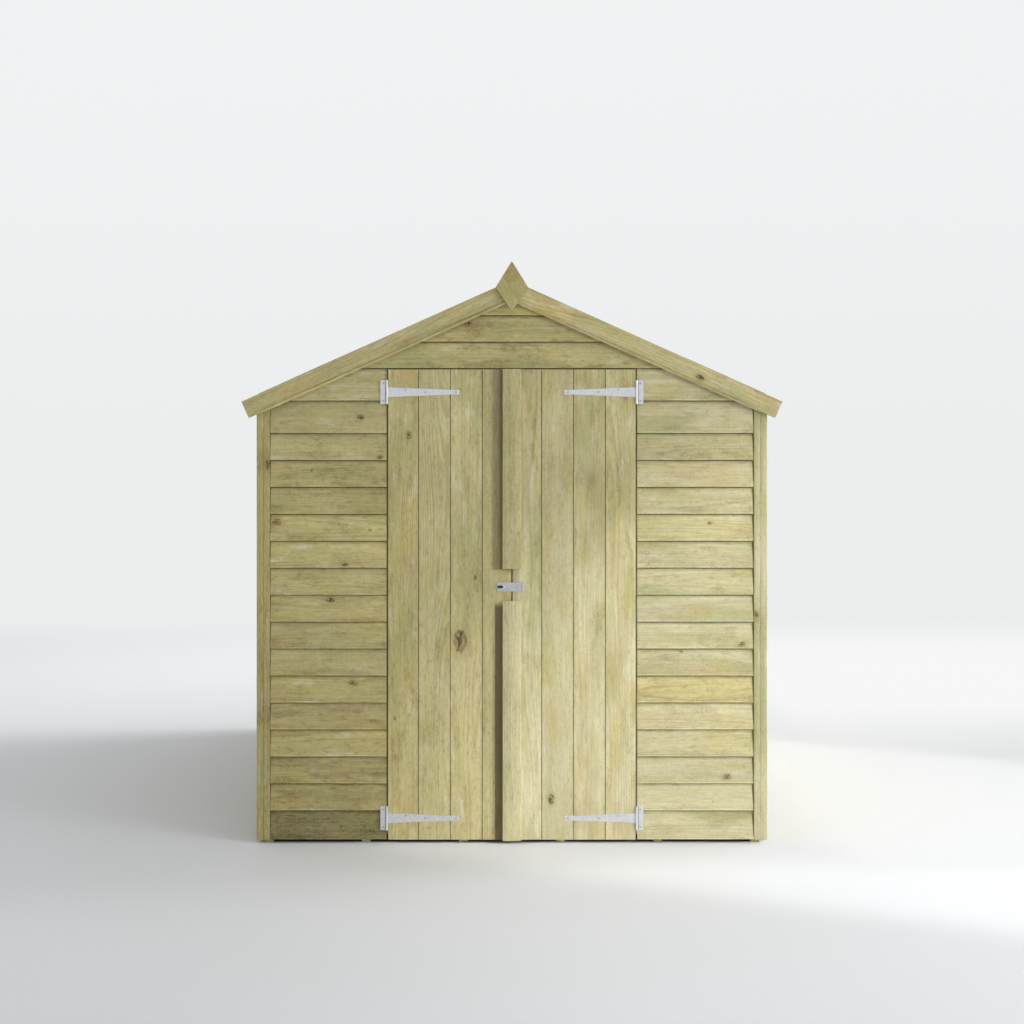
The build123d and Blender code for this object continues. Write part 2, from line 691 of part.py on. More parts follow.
def hasp_staple():
    """Staple on the left leaf: a small plate and a loop of round wire."""
    leaf_face = hasp_depths()[0]
    half = HASP_WIDTH / 2
    low, high = HASP_HEIGHT - half, HASP_HEIGHT + half
    outline = [(STAPLE_PLATE_LEFT, low), (STAPLE_PLATE_RIGHT, low)]
    outline += [(STAPLE_PLATE_RIGHT, high), (STAPLE_PLATE_LEFT, high)]
    plate = front_plate(outline, DOOR_FACE, leaf_face)
    radius = STAPLE_WIRE / 2
    x0, x1 = STAPLE_LEFT + radius, STAPLE_RIGHT - radius
    foot = -(HALF_LENGTH + DOOR_FACE)
    bend = (x1 - x0) / 2
    crown = -(HALF_LENGTH + DOOR_FACE + STAPLE_STAND - radius)
    z = HASP_HEIGHT
    path = Wire(
        [
            Line((x0, foot, z), (x0, crown + bend, z)),
            ThreePointArc((x0, crown + bend, z), ((x0 + x1) / 2, crown, z), (x1, crown + bend, z)),
            Line((x1, crown + bend, z), (x1, foot, z)),
        ]
    )
    section = Plane(origin=(x0, foot, z), z_dir=(0, -1, 0)) * Circle(radius)
    loop = sweep(section, path=path)
    return (plate + loop).solids()[0]


def doors():
    """Both leaves with their hinges, cover strips, hasp and staple."""
    boards, framing = door_leaf()
    straps = [hinge_strap(centre) for centre in HINGE_CENTRES]
    plates = []
    for centre in HINGE_CENTRES:
        plates += left_and_right(hinge_plate(centre))
    return {
        "hinge_plates": plates,
        "right_door_boards": [boards],
        "right_door_ledges": framing,
        "right_hinge_straps": straps,
        "door_cover_strips": cover_strips(),
        "hasp_leaf": [hasp_leaf()],
        "hasp_flap": [hasp_flap()],
        "left_door_boards": [mirror(boards, about=Plane.YZ)],
        "left_door_ledges": [mirror(piece, about=Plane.YZ) for piece in framing],
        "left_hinge_straps": [mirror(strap, about=Plane.YZ) for strap in straps],
        "hasp_staple": [hasp_staple()],
    }


def main():
    nodes = {}
    sections = (
        floor_parts, front_frame, back_frame, gable_boards, side_walls,
        corner_strips, roof, barge_boards, doors,
    )
    for section in sections:
        nodes.update(section())
    os.makedirs("parts", exist_ok=True)
    for name, pieces in nodes.items():
        shape = pieces[0] if len(pieces) == 1 else Compound(pieces)
        export_step(shape, f"parts/{name}.step")
    print(len(nodes), "nodes")


main()
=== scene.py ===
# %% [markdown]
# # A wooden garden shed in the studio
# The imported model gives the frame: every wall, leaf, hinge and beam at its real size and place,
# in metres. X runs across the front, Y from front to back and Z up, with the ground at zero. This
# notebook dresses that frame. Sawn boards, felt, nails and screws are modelled over it, and the
# framing and the ironwork that are already right only get a finish.

import json
import math
import random
from contextlib import contextmanager

import bmesh
import bpy
from mathutils import Matrix, Vector

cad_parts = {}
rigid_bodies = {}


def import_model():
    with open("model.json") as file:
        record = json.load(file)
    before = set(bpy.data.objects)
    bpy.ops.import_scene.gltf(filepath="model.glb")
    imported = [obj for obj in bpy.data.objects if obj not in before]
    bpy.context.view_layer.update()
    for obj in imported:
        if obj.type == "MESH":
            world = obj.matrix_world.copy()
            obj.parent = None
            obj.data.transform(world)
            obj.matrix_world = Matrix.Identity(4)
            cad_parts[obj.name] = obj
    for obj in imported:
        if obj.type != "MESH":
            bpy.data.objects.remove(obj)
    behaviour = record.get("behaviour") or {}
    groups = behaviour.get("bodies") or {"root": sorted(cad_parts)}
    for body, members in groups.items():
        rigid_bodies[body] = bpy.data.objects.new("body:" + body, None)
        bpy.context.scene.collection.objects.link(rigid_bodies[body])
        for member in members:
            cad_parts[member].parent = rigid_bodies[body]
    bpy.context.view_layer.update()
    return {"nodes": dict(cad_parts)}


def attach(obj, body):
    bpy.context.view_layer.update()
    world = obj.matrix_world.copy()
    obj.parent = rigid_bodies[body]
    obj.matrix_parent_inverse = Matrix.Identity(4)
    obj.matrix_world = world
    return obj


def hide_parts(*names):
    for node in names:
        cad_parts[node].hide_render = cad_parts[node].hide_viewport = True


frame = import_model()
nodes = frame["nodes"]

# %% [markdown]
# ## Where the camera stands
# The photograph was taken level, square to the doors and 4.5 m in front of the boards, so all
# upright lines stay upright. The lens follows from how wide the shed looks at that distance. The
# camera could be tilted or shifted to frame a tall thing, but at this height the middle of the
# picture is already right.

# %% Camera
CLADDING_FACE = -1.219
CAMERA_DISTANCE = 4.5
CAMERA_HEIGHT = 1.190
CAMERA_SIDE = 0.0004
LENS = 44.07
SENSOR = 36.0

camera_data = bpy.data.cameras.new("camera")
camera_data.lens = LENS
camera_data.sensor_width = SENSOR
camera = bpy.data.objects.new("camera", camera_data)
camera.location = (CAMERA_SIDE, CLADDING_FACE - CAMERA_DISTANCE, CAMERA_HEIGHT)
camera.rotation_euler = (math.radians(90), 0, 0)
bpy.context.scene.collection.objects.link(camera)
bpy.context.scene.camera = camera
bpy.context.scene.view_settings.view_transform = "Standard"
print("camera at", [round(x, 3) for x in camera.location])

# %% [markdown]
# ## Shader nodes as sums
# A wood finish needs many small sums. Wiring each Math node by hand is slow to read, so one small
# class wraps the output of a node and lets Python's own operators add the nodes. A second class
# adds any other node from its type, its settings and what goes into its sockets.


# %% Wires and graphs
class Wire:
    """The output of a node. Its operators add Math nodes, or Vector Math nodes for vectors."""

    def __init__(self, graph, output):
        self.graph = graph
        self.output = output

    def math(self, operation, *others):
        values = (self, *others)
        vectors = any(isinstance(v, Wire) and v.output.type in ("VECTOR", "RGBA") for v in values)
        kind = "ShaderNodeVectorMath" if vectors else "ShaderNodeMath"
        return self.graph.add(kind, {"operation": operation}, dict(enumerate(values)))

    def __add__(self, other):
        return self.math("ADD", other)

    __radd__ = __add__

    def __sub__(self, other):
        return self.math("SUBTRACT", other)

    def __rsub__(self, other):
        return self * -1.0 + other

    def __mul__(self, other):
        return self.math("MULTIPLY", other)

    __rmul__ = __mul__

    def __truediv__(self, other):
        return self.math("DIVIDE", other)

    def __pow__(self, power):
        return self.math("POWER", power)

    def rise(self, low, high):
        """0 below low, 1 above high and a soft step between them."""
        sockets = {"Value": self, "From Min": low, "From Max": high}
        settings = {"interpolation_type": "SMOOTHSTEP"}
        return self.graph.add("ShaderNodeMapRange", settings, sockets)

    def parts(self):
        """The three numbers of a vector or a colour."""
        first = self.graph.add("ShaderNodeSeparateXYZ", {}, {0: self})
        return [Wire(self.graph, output) for output in first.output.node.outputs]


class Graph:
    """The nodes of one material, or of the world."""

    def __init__(self, owner):
        owner.use_nodes = True
        self.owner = owner
        self.tree = owner.node_tree
        self.tree.nodes.clear()

    def add(self, kind, settings, sockets, output=0):
        node = self.tree.nodes.new(kind)
        for key, value in settings.items():
            setattr(node, key, value)
        for key, value in sockets.items():
            socket = node.inputs[key]
            if isinstance(value, Wire):
                self.tree.links.new(value.output, socket)
            elif socket.type == "VECTOR" and isinstance(value, (int, float)):
                socket.default_value = (value, value, value)
            else:
                socket.default_value = value
        return Wire(self, node.outputs[output])

    def place(self):
        """Where a point is, in metres, which is the same in every pose."""
        return self.add("ShaderNodeTexCoord", {}, {}, "Object")

    def attribute(self, name):
        return self.add("ShaderNodeAttribute", {"attribute_name": name}, {}, "Vector")

    def vector(self, x, y, z):
        return self.add("ShaderNodeCombineXYZ", {}, {0: x, 1: y, 2: z})

    def noise(self, place, detail=2.0, output="Fac"):
        """Soft noise about one half, or three of them when its Color is asked for."""
        sockets = {"Vector": place, "Scale": 1.0, "Detail": detail}
        return self.add("ShaderNodeTexNoise", {}, sockets, output)

    def cells(self, place, output="Distance"):
        """Cells round scattered points, one to each unit cube."""
        return self.add("ShaderNodeTexVoronoi", {}, {"Vector": place, "Scale": 1.0}, output)

    def luck(self, seed):
        """Three numbers from 0 to 1 that depend on a vector alone."""
        return self.add("ShaderNodeTexWhiteNoise", {}, {"Vector": seed}, "Color")

    def mixed(self, share, first, second, blend="MIX"):
        """One colour into another by a share."""
        settings = {"data_type": "RGBA", "blend_type": blend}
        first, second = (c if isinstance(c, Wire) else (*c, 1.0) for c in (first, second))
        return self.add("ShaderNodeMix", settings, {0: share, 6: first, 7: second}, 2)

    def shaded(self, colour, amount):
        """A colour made lighter or darker by a number about one."""
        return self.mixed(1.0, colour, self.vector(amount, amount, amount), "MULTIPLY")

    def bump(self, height, distance):
        sockets = {"Height": height, "Strength": 1.0, "Distance": distance}
        return self.add("ShaderNodeBump", {}, sockets)

    def shown_rays(self):
        """1 for what the camera or a glossy surface sees, and 0 for light that falls."""
        rays = self.add("ShaderNodeLightPath", {}, {}).output.node.outputs
        camera, glossy = (Wire(self, rays[name]) for name in ("Is Camera Ray", "Is Glossy Ray"))
        return camera.math("MAXIMUM", glossy)

    def finish(self, sockets, kind="ShaderNodeBsdfPrincipled", end="ShaderNodeOutputMaterial"):
        """Ends the graph in one shader."""
        shader = self.add(kind, {}, sockets)
        output = self.tree.nodes.new(end)
        self.tree.links.new(shader.output, output.inputs["Surface"])
        return self.owner


print("shader helpers ready")

# %% [markdown]
# ## The studio
# Behind the shed the photograph shows a white cove: a floor that curves up into a wall far away.
# A plane whose far edge is pushed along a quarter circle makes the same. Close to the shed the
# floor takes real light and shadow. Far away, and at the right behind the shed, it shows its own
# pale colour to the camera and to gloss, because lamps bright enough to whiten it would burn out
# the wood. For the same reason the floor is painted lighter in front and at the right, where the
# photograph is brightest, and dark under the shed, where hardly any light gets in.

# %% Selecting and shaping
def deselect_all():
    bpy.ops.object.select_all(action="DESELECT")


def choose(piece):
    """Makes one piece the only one that the next operator acts on."""
    deselect_all()
    piece.select_set(True)
    bpy.context.view_layer.objects.active = piece


def named_start(name, scale=(1, 1, 1)):
    """Names the primitive that was just added, and settles its place and scale into its mesh."""
    piece = bpy.context.object
    piece.name = piece.data.name = name
    piece.scale = scale
    bpy.ops.object.transform_apply(location=True, rotation=False, scale=True)
    return piece


@contextmanager
def editing(piece, mode="FACE"):
    """Edit mode on one piece, with nothing selected in it at the start."""
    choose(piece)
    bpy.ops.object.mode_set(mode="EDIT")
    bpy.ops.mesh.select_mode(type=mode)
    bpy.ops.mesh.select_all(action="DESELECT")
    yield
    bpy.ops.object.mode_set(mode="OBJECT")


def pick(piece, kind, wanted):
    """In edit mode, selects the vertices, edges or faces that a test wants."""
    mesh = bmesh.from_edit_mesh(piece.data)
    for element in getattr(mesh, kind):
        if wanted(element):
            element.select_set(True)
    bmesh.update_edit_mesh(piece.data)


def push_out(by):
    """In edit mode, extrudes what is selected."""
    bpy.ops.mesh.extrude_region_move(TRANSFORM_OT_translate={"value": by})


print("shaping helpers ready")

# %% Floor and cove
COVE_START = 11.2
COVE_RADIUS = 4.0
COVE_STEPS = 12
WALL_TOP = 16.0
FLOOR_HALF = 30.0
FLOOR_FRONT = -16.0

deselect_all()
floor_middle = (0, (FLOOR_FRONT + COVE_START) / 2, 0)
bpy.ops.mesh.primitive_plane_add(size=1, location=floor_middle)
studio_floor = named_start("studio_floor", (2 * FLOOR_HALF, COVE_START - FLOOR_FRONT, 1))
with editing(studio_floor, "EDGE"):
    pick(studio_floor, "edges", lambda e: all(v.co.y > COVE_START - 0.1 for v in e.verts))
    for step in range(COVE_STEPS):
        turn = [math.pi / 2 * s / COVE_STEPS for s in (step, step + 1)]
        along = COVE_RADIUS * (math.sin(turn[1]) - math.sin(turn[0]))
        up = COVE_RADIUS * (math.cos(turn[0]) - math.cos(turn[1]))
        push_out((0, along, up))
    push_out((0, 0, WALL_TOP - COVE_RADIUS))
bpy.ops.object.shade_smooth()
print("studio floor:", len(studio_floor.data.polygons), "faces")

# %% Floor paint
FLOOR_GREY = (0.835, 0.845, 0.865)
FLOOR_LIGHT = (0.945, 0.958, 0.983)
FLOOR_LIT = (0.925, 0.930, 0.925)
FLOOR_SHADED = (0.080, 0.080, 0.085)
WALL_LOW = (0.83, 0.845, 0.85)
WALL_HIGH = (0.875, 0.887, 0.895)
FAR_FADE = (4.0, 8.0)
LIT_FADE = (4.0, 9.0)
WALL_FADE = (0.5, 9.0)
RIGHT_BACK_X, RIGHT_BACK_Y = (0.9, 1.8), (-0.8, 2.2)
FRONT_X, FRONT_END_X, FRONT_Y = (-1.0, 0.5), (1.6, 2.6), (-1.70, -1.25)
RIGHT_X = (0.95, 1.3)
UNDER_X, UNDER_Y = (0.868, 0.878), (1.180, 1.195)

g = Graph(bpy.data.materials.new("studio_paint"))
place = g.place()
x, y, z = place.parts()
right_back = x.rise(*RIGHT_BACK_X) * y.rise(*RIGHT_BACK_Y)
far = (y + z * 2.0).rise(*FAR_FADE).math("MAXIMUM", right_back)
speckle = g.noise(place * 40.0) * 0.02 + 0.99
front = x.rise(*FRONT_X) * (1.0 - y.rise(*FRONT_Y)) * (1.0 - x.rise(*FRONT_END_X) * 0.3)
lighter = front.math("MAXIMUM", x.rise(*RIGHT_X) * 0.6)
under = 1.0 - x.math("ABSOLUTE").rise(*UNDER_X)
under = under * (1.0 - y.math("ABSOLUTE").rise(*UNDER_Y))
tint = g.mixed(under, g.mixed(lighter, FLOOR_GREY, FLOOR_LIGHT), FLOOR_SHADED)
paint = g.add("ShaderNodeBsdfDiffuse", {}, {"Color": g.shaded(tint, speckle)})
wall_colour = g.mixed(z.rise(*WALL_FADE), WALL_LOW, WALL_HIGH)
wall_colour = g.mixed(right_back * (1.0 - y.rise(*LIT_FADE)), wall_colour, FLOOR_LIT)
glow = g.add("ShaderNodeEmission", {}, {"Color": wall_colour})
g.finish({0: g.shown_rays() * far, 1: paint, 2: glow}, "ShaderNodeMixShader")
studio_floor.data.materials.append(g.owner)
print("floor paint:", len(g.tree.nodes), "nodes")

# %% [markdown]
# ## Light
# Each corner, strip and barge board throws its shadow to the left and a little down, and the
# right of the front is brightest. Three lamps share that work. The key lamp stands low at the
# right with a narrow spread, like a torch, so that it brightens the right leaf and panel alone.
# The fill lamp lights the whole front from about the same side. The side lamp stands high at the
# right and throws the shed's broad shadow on the floor. An even pale world does the rest, at a
# level where a colour comes out about as it is written.

# %% Lamps and world
WORLD_LEVEL = 0.75
WORLD_TILT = 0.27
LAMPS = {
    "key_lamp": {
        "aim": (2.385, -1.219, 0.567),
        "towards": (1.9, -1.0, 0.68),
        "distance": 5.0,
        "size": (2.68, 3.0),
        "power": 12.5,
        "spread": 4.5,
    },
    "fill_lamp": {
        "aim": (0.6, -1.6, 0.6),
        "towards": (1.7, -1.0, 0.6),
        "distance": 4.6,
        "size": (2.0, 1.6),
        "power": 30.0,
        "spread": 120.0,
    },
    "side_lamp": {
        "aim": (-3.0, 4.2, 0.0),
        "towards": (1.0, 0.06, 0.75),
        "distance": 15.0,
        "size": (9.0, 3.0),
        "power": 108.0,
        "spread": 45.0,
    },
}


def soft_lamp(name, aim, towards, distance, size, power, spread):
    """An oval lamp that looks at a point from some way off."""
    light = bpy.data.lights.new(name, "AREA")
    light.shape = "ELLIPSE"
    light.size, light.size_y = size
    light.energy = power
    light.spread = math.radians(spread)
    lamp = bpy.data.objects.new(name, light)
    away = Vector(towards).normalized()
    lamp.location = Vector(aim) + away * distance
    lamp.rotation_euler = (-away).to_track_quat("-Z", "Y").to_euler()
    bpy.context.scene.collection.objects.link(lamp)


for name, values in LAMPS.items():
    soft_lamp(name, **values)

g = Graph(bpy.data.worlds.new("studio_air"))
right_part = g.add("ShaderNodeTexCoord", {}, {}, "Generated").parts()[0]
soft_level = right_part * WORLD_TILT + WORLD_LEVEL
shown = g.shown_rays()
level = shown + (1.0 - shown) * soft_level
air = {"Color": (*WALL_HIGH, 1.0), "Strength": level}
g.finish(air, "ShaderNodeBackground", "ShaderNodeOutputWorld")
bpy.context.scene.world = g.owner
print("lamps:", ", ".join(LAMPS), "and the world at", WORLD_LEVEL)

# %% [markdown]
# ## Treated softwood
# The boards are pale pine that was pressed full of preservative, which leaves it a straw yellow
# with green and pinkish patches. Flat colour with stripes would look printed, so the grain is
# worked out as in a log: a board is a slice at some distance from the heart, the rings are shells
# round that heart, and where the heart wanders along the board the face shows broad arcs. Each
# piece carries its own grain coordinates, so its grain runs along it whichever way the piece
# points: "grain" is metres along, across and into the piece, and "board" is chance, half its
# width and how pale it is.

# %% A slice of a log
HEART_SPREAD = 0.10
HEART_WANDER = 0.16
HEART_NEAREST = 0.02
HEART_DEPTHS = 0.05
HEART_SWAY = 0.09
RING_WOBBLE = 0.0055
NARROW_RING = 0.0050
RING_RANGE = 0.0035


class Slice:
    """A board as a slice of a log: its grain coordinates, its chance values and its fine marks."""

    def __init__(self, g, grain, board):
        along, across, depth = grain(g).parts()
        chance, self.half_width, self.pale = board(g).parts()
        tree = chance * 37.0
        self.along, self.across, self.depth, self.tree = along, across, depth, tree
        self.luck = g.luck(g.vector(chance * 91.7, chance * 13.1, 0.5)).parts()
        # Pale pieces have calmer grain; where the paleness is painted light, this calm is part of
        # it.
        self.calm = 1.0 - self.pale.math("MAXIMUM", 0.0) * 0.50
        drift = g.vector(along * 0.8, tree, self.luck[0] * 9.0)
        self.wander = g.noise(drift, 1.0, "Color").parts()
        fibre_place = g.vector(along * 9.0, across * 420.0, depth * 420.0 + tree)
        self.fibres = g.noise(fibre_place, 1.0) - 0.5
        streak_place = g.vector(along * 2.2, across * 85.0, depth * 85.0 + tree)
        self.streaks = g.noise(streak_place) - 0.5
        mottle_place = g.vector(along * 42.0, across * 110.0 + tree, depth * 110.0)
        self.mottle = g.noise(mottle_place, 3.0) - 0.5


def heart_distance(g, cut):
    """Metres from the heart of the log, before a knot pushes the rings aside."""
    luck_a, luck_b, _ = cut.luck
    wander_across, wander_depth, _ = cut.wander
    heart_across = (luck_a - 0.5) * HEART_SPREAD + (wander_across - 0.5) * HEART_WANDER
    heart_depth = luck_b * HEART_DEPTHS + HEART_NEAREST + (wander_depth - 0.5) * HEART_SWAY
    off_across = cut.across - heart_across
    off_depth = cut.depth + heart_depth
    wobble_place = g.vector(cut.along * 4.0, cut.across * 26.0 + cut.tree, cut.depth * 26.0)
    wobble = g.noise(wobble_place) - 0.5
    return (off_across * off_across + off_depth * off_depth) ** 0.5 + wobble * RING_WOBBLE


def late_wood(g, cut, radius):
    """0 in the pale part of each ring and up to 1 in the dark line that ends it."""
    rings = radius / (cut.luck[2] * RING_RANGE + NARROW_RING)
    phase = rings.math("FRACT")
    late = phase.rise(0.30, 0.88) * (1.0 - phase.rise(0.90, 1.0))
    strength = g.noise(g.vector(rings * 0.7, cut.tree, cut.along * 1.3), 1.0).rise(0.25, 0.75)
    return late * (strength * 0.85 + 0.15)


print("rings from", NARROW_RING * 1000, "to", (NARROW_RING + RING_RANGE) * 1000, "mm wide")

# %% [markdown]
# A knot is a branch that the trunk grew round. The rings bulge about it, its own rings are tight
# and dark, its bark leaves a broken black rim, and it splits as it dries. A dark disc would look
# like a hole, so each of these is drawn by its own sum over the distance from the knot.
# "knot_one" and "knot_two" on a piece are a knot's place along and across, with its radius.

# %% Knots
LATE_WOOD = (0.350, 0.255, 0.095)
KNOT_WOOD = (0.220, 0.140, 0.055)
KNOT_BARK = (0.060, 0.040, 0.016)
KNOT_LENGTH = 0.62
KNOT_BULGE = 0.9


def knot_distance(cut, knot):
    """How far a point is from a knot, in knot radii. A radius of nought has no reach."""
    knot_along, knot_across, radius = knot.parts()
    reach = radius.math("MAXIMUM", 0.00005)
    off_along = (cut.along - knot_along) * KNOT_LENGTH / reach
    off_across = (cut.across - knot_across) / reach
    distance = (off_along * off_along + off_across * off_across) ** 0.5
    bulge = (distance * distance * -0.22).math("EXPONENT") * radius * KNOT_BULGE
    return distance, off_along, off_across, bulge


def knotted(g, cut, mark, colour, height):
    """Draws one knot over a colour and a height."""
    distance, off_along, off_across = mark
    ragged = distance + cut.mottle * 0.9 + cut.fibres * 0.25
    body = 1.0 - ragged.rise(0.72, 1.05)
    eyes = (distance * 9.0 + cut.streaks * 3.0).math("SINE") * 0.5 + 0.5
    rim = 1.0 - (ragged - 0.95).math("ABSOLUTE").rise(0.03, 0.22)
    turn = off_along.math("ARCTAN2", off_across)
    rays = g.noise(g.vector(turn * 1.5, distance * 0.8, cut.tree), 0.0)
    split = rays.rise(0.54, 0.64) * (1.0 - distance.rise(0.75, 1.2))
    core = 1.0 - ragged.rise(0.10, 0.55)
    colour = g.mixed((1.0 - distance.rise(0.9, 2.6)) * 0.35, colour, LATE_WOOD)
    colour = g.mixed(body * (eyes * 0.30 + 0.40), colour, KNOT_WOOD)
    dark = (rim * rays.rise(0.30, 0.60) * 0.6).math("MAXIMUM", split * 0.85)
    colour = g.mixed(dark.math("MAXIMUM", core * 0.6), colour, KNOT_BARK)
    return colour, height - split * 1.6 - rim * 0.4


print("knots are", round(1 / KNOT_LENGTH, 1), "times as long as wide")

# %% [markdown]
# Where boards meet, the wood is painted darker, as painted shade. A lapped board gets painted shade
# under the next one and on the underside of its foot, and a painted highlight on the arris at its
# foot. Door boards get painted shade in their V joints. The left leaf also has a painted shadow
# beside the cover strips, where the photograph shows a shadow that no single lamp could give
# together with the light on the boards.

# %% Edges
PAINTED_SHADE = (0.078, 0.050, 0.014)
LAP = 0.0132
# Where the painted shadow of the cover strips lies on the left leaf.
COVER_SHADOW_BEGINS = (-0.079, -0.062)
COVER_SHADOW_DEEPENS = (-0.050, -0.040)
LOW_COVER_SHADOW_BEGINS = (-0.0635, -0.0585)
COVER_SHADOW_ENDS = (-0.004, 0.0)
COVER_SHADOW_FACE = (-1.216, -1.213)
UPPER_COVER_SHADOW = (0.980, 0.986)
LOWER_COVER_SHADOW = (0.845, 0.868)


def lapped_edge(g, cut, colour, shade_noise):
    """Painted shade as a dark line under the board above and on the underside of the foot, and a
    painted highlight on the foot's arris.
    """
    from_foot = cut.across + cut.half_width
    from_lap = cut.half_width - LAP - cut.across + cut.mottle * 0.0016
    # A painted highlight on the foot's arris, and a soft band of painted shade under the board
    # above.
    rim = from_foot.rise(0.0008, 0.0020) * (1.0 - from_foot.rise(0.0026, 0.0060))
    colour = g.shaded(colour, 1.0 + rim * 0.22 - (1.0 - from_lap.rise(0.001, 0.016)) * 0.28)
    # Painted shade: a dark line under the lap and on the underside of the foot, its strength varied
    # by noise.
    dark = 1.0 - from_lap.rise(0.0008, 0.0042)
    dark = dark.math("MAXIMUM", 1.0 - from_foot.rise(0.0002, 0.0012))
    return g.mixed(dark * (shade_noise.rise(0.35, 0.65) * 0.35 + 0.45), colour, PAINTED_SHADE)


def jointed_edge(g, cut, colour, from_edge):
    """Painted shade in the V joints, and a painted shadow of the cover strips on the outer face
    beside them.
    """
    x, y, z = g.place().parts()
    # The painted shadow of the cover strips: soft and wide above the hasp, crisp below it, ending
    # at the meeting line.
    soft = x.rise(*COVER_SHADOW_BEGINS) * 0.42 + x.rise(*COVER_SHADOW_DEEPENS) * 0.22
    crisp = x.rise(*LOW_COVER_SHADOW_BEGINS) * 0.75
    beside = z.rise(*UPPER_COVER_SHADOW) * soft + (1.0 - z.rise(*LOWER_COVER_SHADOW)) * crisp
    beside = beside * (1.0 - x.rise(*COVER_SHADOW_ENDS)) * (1.0 - y.rise(*COVER_SHADOW_FACE))
    colour = g.mixed(beside, colour, PAINTED_SHADE)
    # Painted shade in the V joints.
    ragged = from_edge + cut.mottle * 0.0012
    return g.mixed((1.0 - ragged.rise(0.0004, 0.0018)) * 0.68, colour, PAINTED_SHADE)


print("lap:", LAP * 1000, "mm")

# %% [markdown]
# The colour is laid on in thin coats, each through its own mask, as a painter would glaze it:
# bleached wood, which on the lit pieces at the right of the front is painted light, then gold,
# moss, rose and scraped patches, then the dark lines of the rings, stains and specks. The share of
# each coat also depends on the board's chance values, so no two boards have the same mixture.

# %% Wood shader
STRAW = (0.550, 0.475, 0.200)
MOSS = (0.385, 0.400, 0.155)
ROSE = (0.500, 0.370, 0.185)
BLEACHED_AND_LIT = (0.680, 0.630, 0.410)
SCRAPED = (0.730, 0.700, 0.520)
GOLD = (0.560, 0.450, 0.130)
STAIN = (0.270, 0.185, 0.068)
WOOD_RELIEF = 0.0007
WOOD_SHINE = 0.35


def wood(name, grain, board, knots, sawn=0.0, edges="plain"):
    """A material of treated softwood. grain, board and knots are functions of its graph. sawn is
    how deep the saw marks are. edges is plain with a painted highlight on the arris, bare for
    corner strips, lapped for wall boards with painted shade at the laps and a painted highlight at
    the foot, jointed for door boards with painted shade in the joints and a painted shadow beside
    the cover strips, or hidden for framing."""
    g = Graph(bpy.data.materials.new(name))
    cut = Slice(g, grain, board)
    along, across, tree, calm = cut.along, cut.across, cut.tree, cut.calm
    luck_a, luck_b, luck_c = cut.luck
    radius = heart_distance(g, cut)
    marks = []
    for knot in knots(g):
        *mark, bulge = knot_distance(cut, knot)
        radius = radius + bulge
        marks.append(mark)
    late = late_wood(g, cut, radius)

    patch_place = g.vector(along * 3.4, across * 11.0 + tree, luck_b * 7.0)
    patch_moss, patch_rose, patch_tone = g.noise(patch_place, 2.0, "Color").parts()
    patch_gold = g.noise(g.vector(along * 5.0, across * 16.0, tree + 4.0))
    blot_place = g.vector(along * 8.0, across * 24.0 + tree, luck_a * 5.0)
    blot, scrape, _ = g.noise(blot_place, 3.0, "Color").parts()
    specks = g.noise(g.vector(along * 120.0, across * 330.0, tree), 1.0)

    # Pale pieces lean to bleached wood; on the right of the front the paleness is painted light.
    colour = g.mixed(cut.pale, STRAW, BLEACHED_AND_LIT)
    colour = g.mixed(patch_gold.rise(0.48, 0.68) * (luck_a * 0.5 + 0.1), colour, GOLD)
    colour = g.mixed(patch_moss.rise(0.42, 0.70) * (luck_c * 0.55 + 0.25), colour, MOSS)
    colour = g.mixed(patch_rose.rise(0.46, 0.72) * (luck_a * 0.45 + 0.12), colour, ROSE)
    colour = g.mixed(scrape.rise(0.56, 0.72) * (luck_b * 0.38 + 0.20), colour, SCRAPED)
    colour = g.mixed(late * (luck_b * 0.45 + 0.36) * calm, colour, LATE_WOOD)
    if edges == "lapped":
        blot = blot + (1.0 - (across + cut.half_width).rise(0.0, 0.05)) * 0.05
    blots = blot.rise(0.53, 0.68) * (specks.rise(0.38, 0.60) * 0.6 + 0.4)
    colour = g.mixed(blots * (luck_c * 0.45 + 0.30) * calm, colour, STAIN)
    colour = g.mixed((cut.mottle * -1.0).rise(0.06, 0.28) * calm * 0.45, colour, LATE_WOOD)

    rough_tone = cut.fibres * 0.30 + cut.streaks * 0.36 + cut.mottle * 0.42
    tone = 0.98 + (rough_tone + (patch_tone - 0.5) * 0.55) * calm
    tone = tone - specks.rise(0.62, 0.72) * 0.22 + cut.pale.math("MINIMUM", 0.0) * 0.6
    tone = tone + (luck_b - 0.5) * 0.20 + (cut.wander[2] - 0.5) * 0.15
    height = cut.fibres * 0.7 + cut.streaks * 0.35 + cut.mottle * 0.4
    for mark in marks:
        colour, height = knotted(g, cut, mark, colour, height)
    if sawn:
        saw_place = g.vector(along * 420.0 + across * 25.0, across * 9.0, tree)
        saw = g.noise(saw_place, 1.0) - 0.5
        height = height + saw * sawn
        tone = tone + saw * sawn * 0.14

    from_edge = cut.half_width - across.math("ABSOLUTE")
    # Plain edges get a painted highlight along their arrises.
    if edges == "plain":
        tone = tone + (1.0 - from_edge.rise(0.0008, 0.0030)) * 0.12
    if edges == "hidden":
        tone = tone * 0.92
    colour = g.shaded(colour, tone)
    if edges == "jointed":
        colour = jointed_edge(g, cut, colour, from_edge)
    if edges == "lapped":
        colour = lapped_edge(g, cut, colour, patch_tone)
    sockets = {
        "Base Color": colour,
        "Roughness": 0.74 + cut.fibres * 0.25 - late * 0.10,
        "Specular IOR Level": WOOD_SHINE,
        "Normal": g.bump(height, WOOD_RELIEF),
    }
    return g.finish(sockets)


def piece_grain(g):
    return g.attribute("grain")


def piece_board(g):
    return g.attribute("board")


def piece_knots(g):
    return [g.attribute("knot_one"), g.attribute("knot_two")]


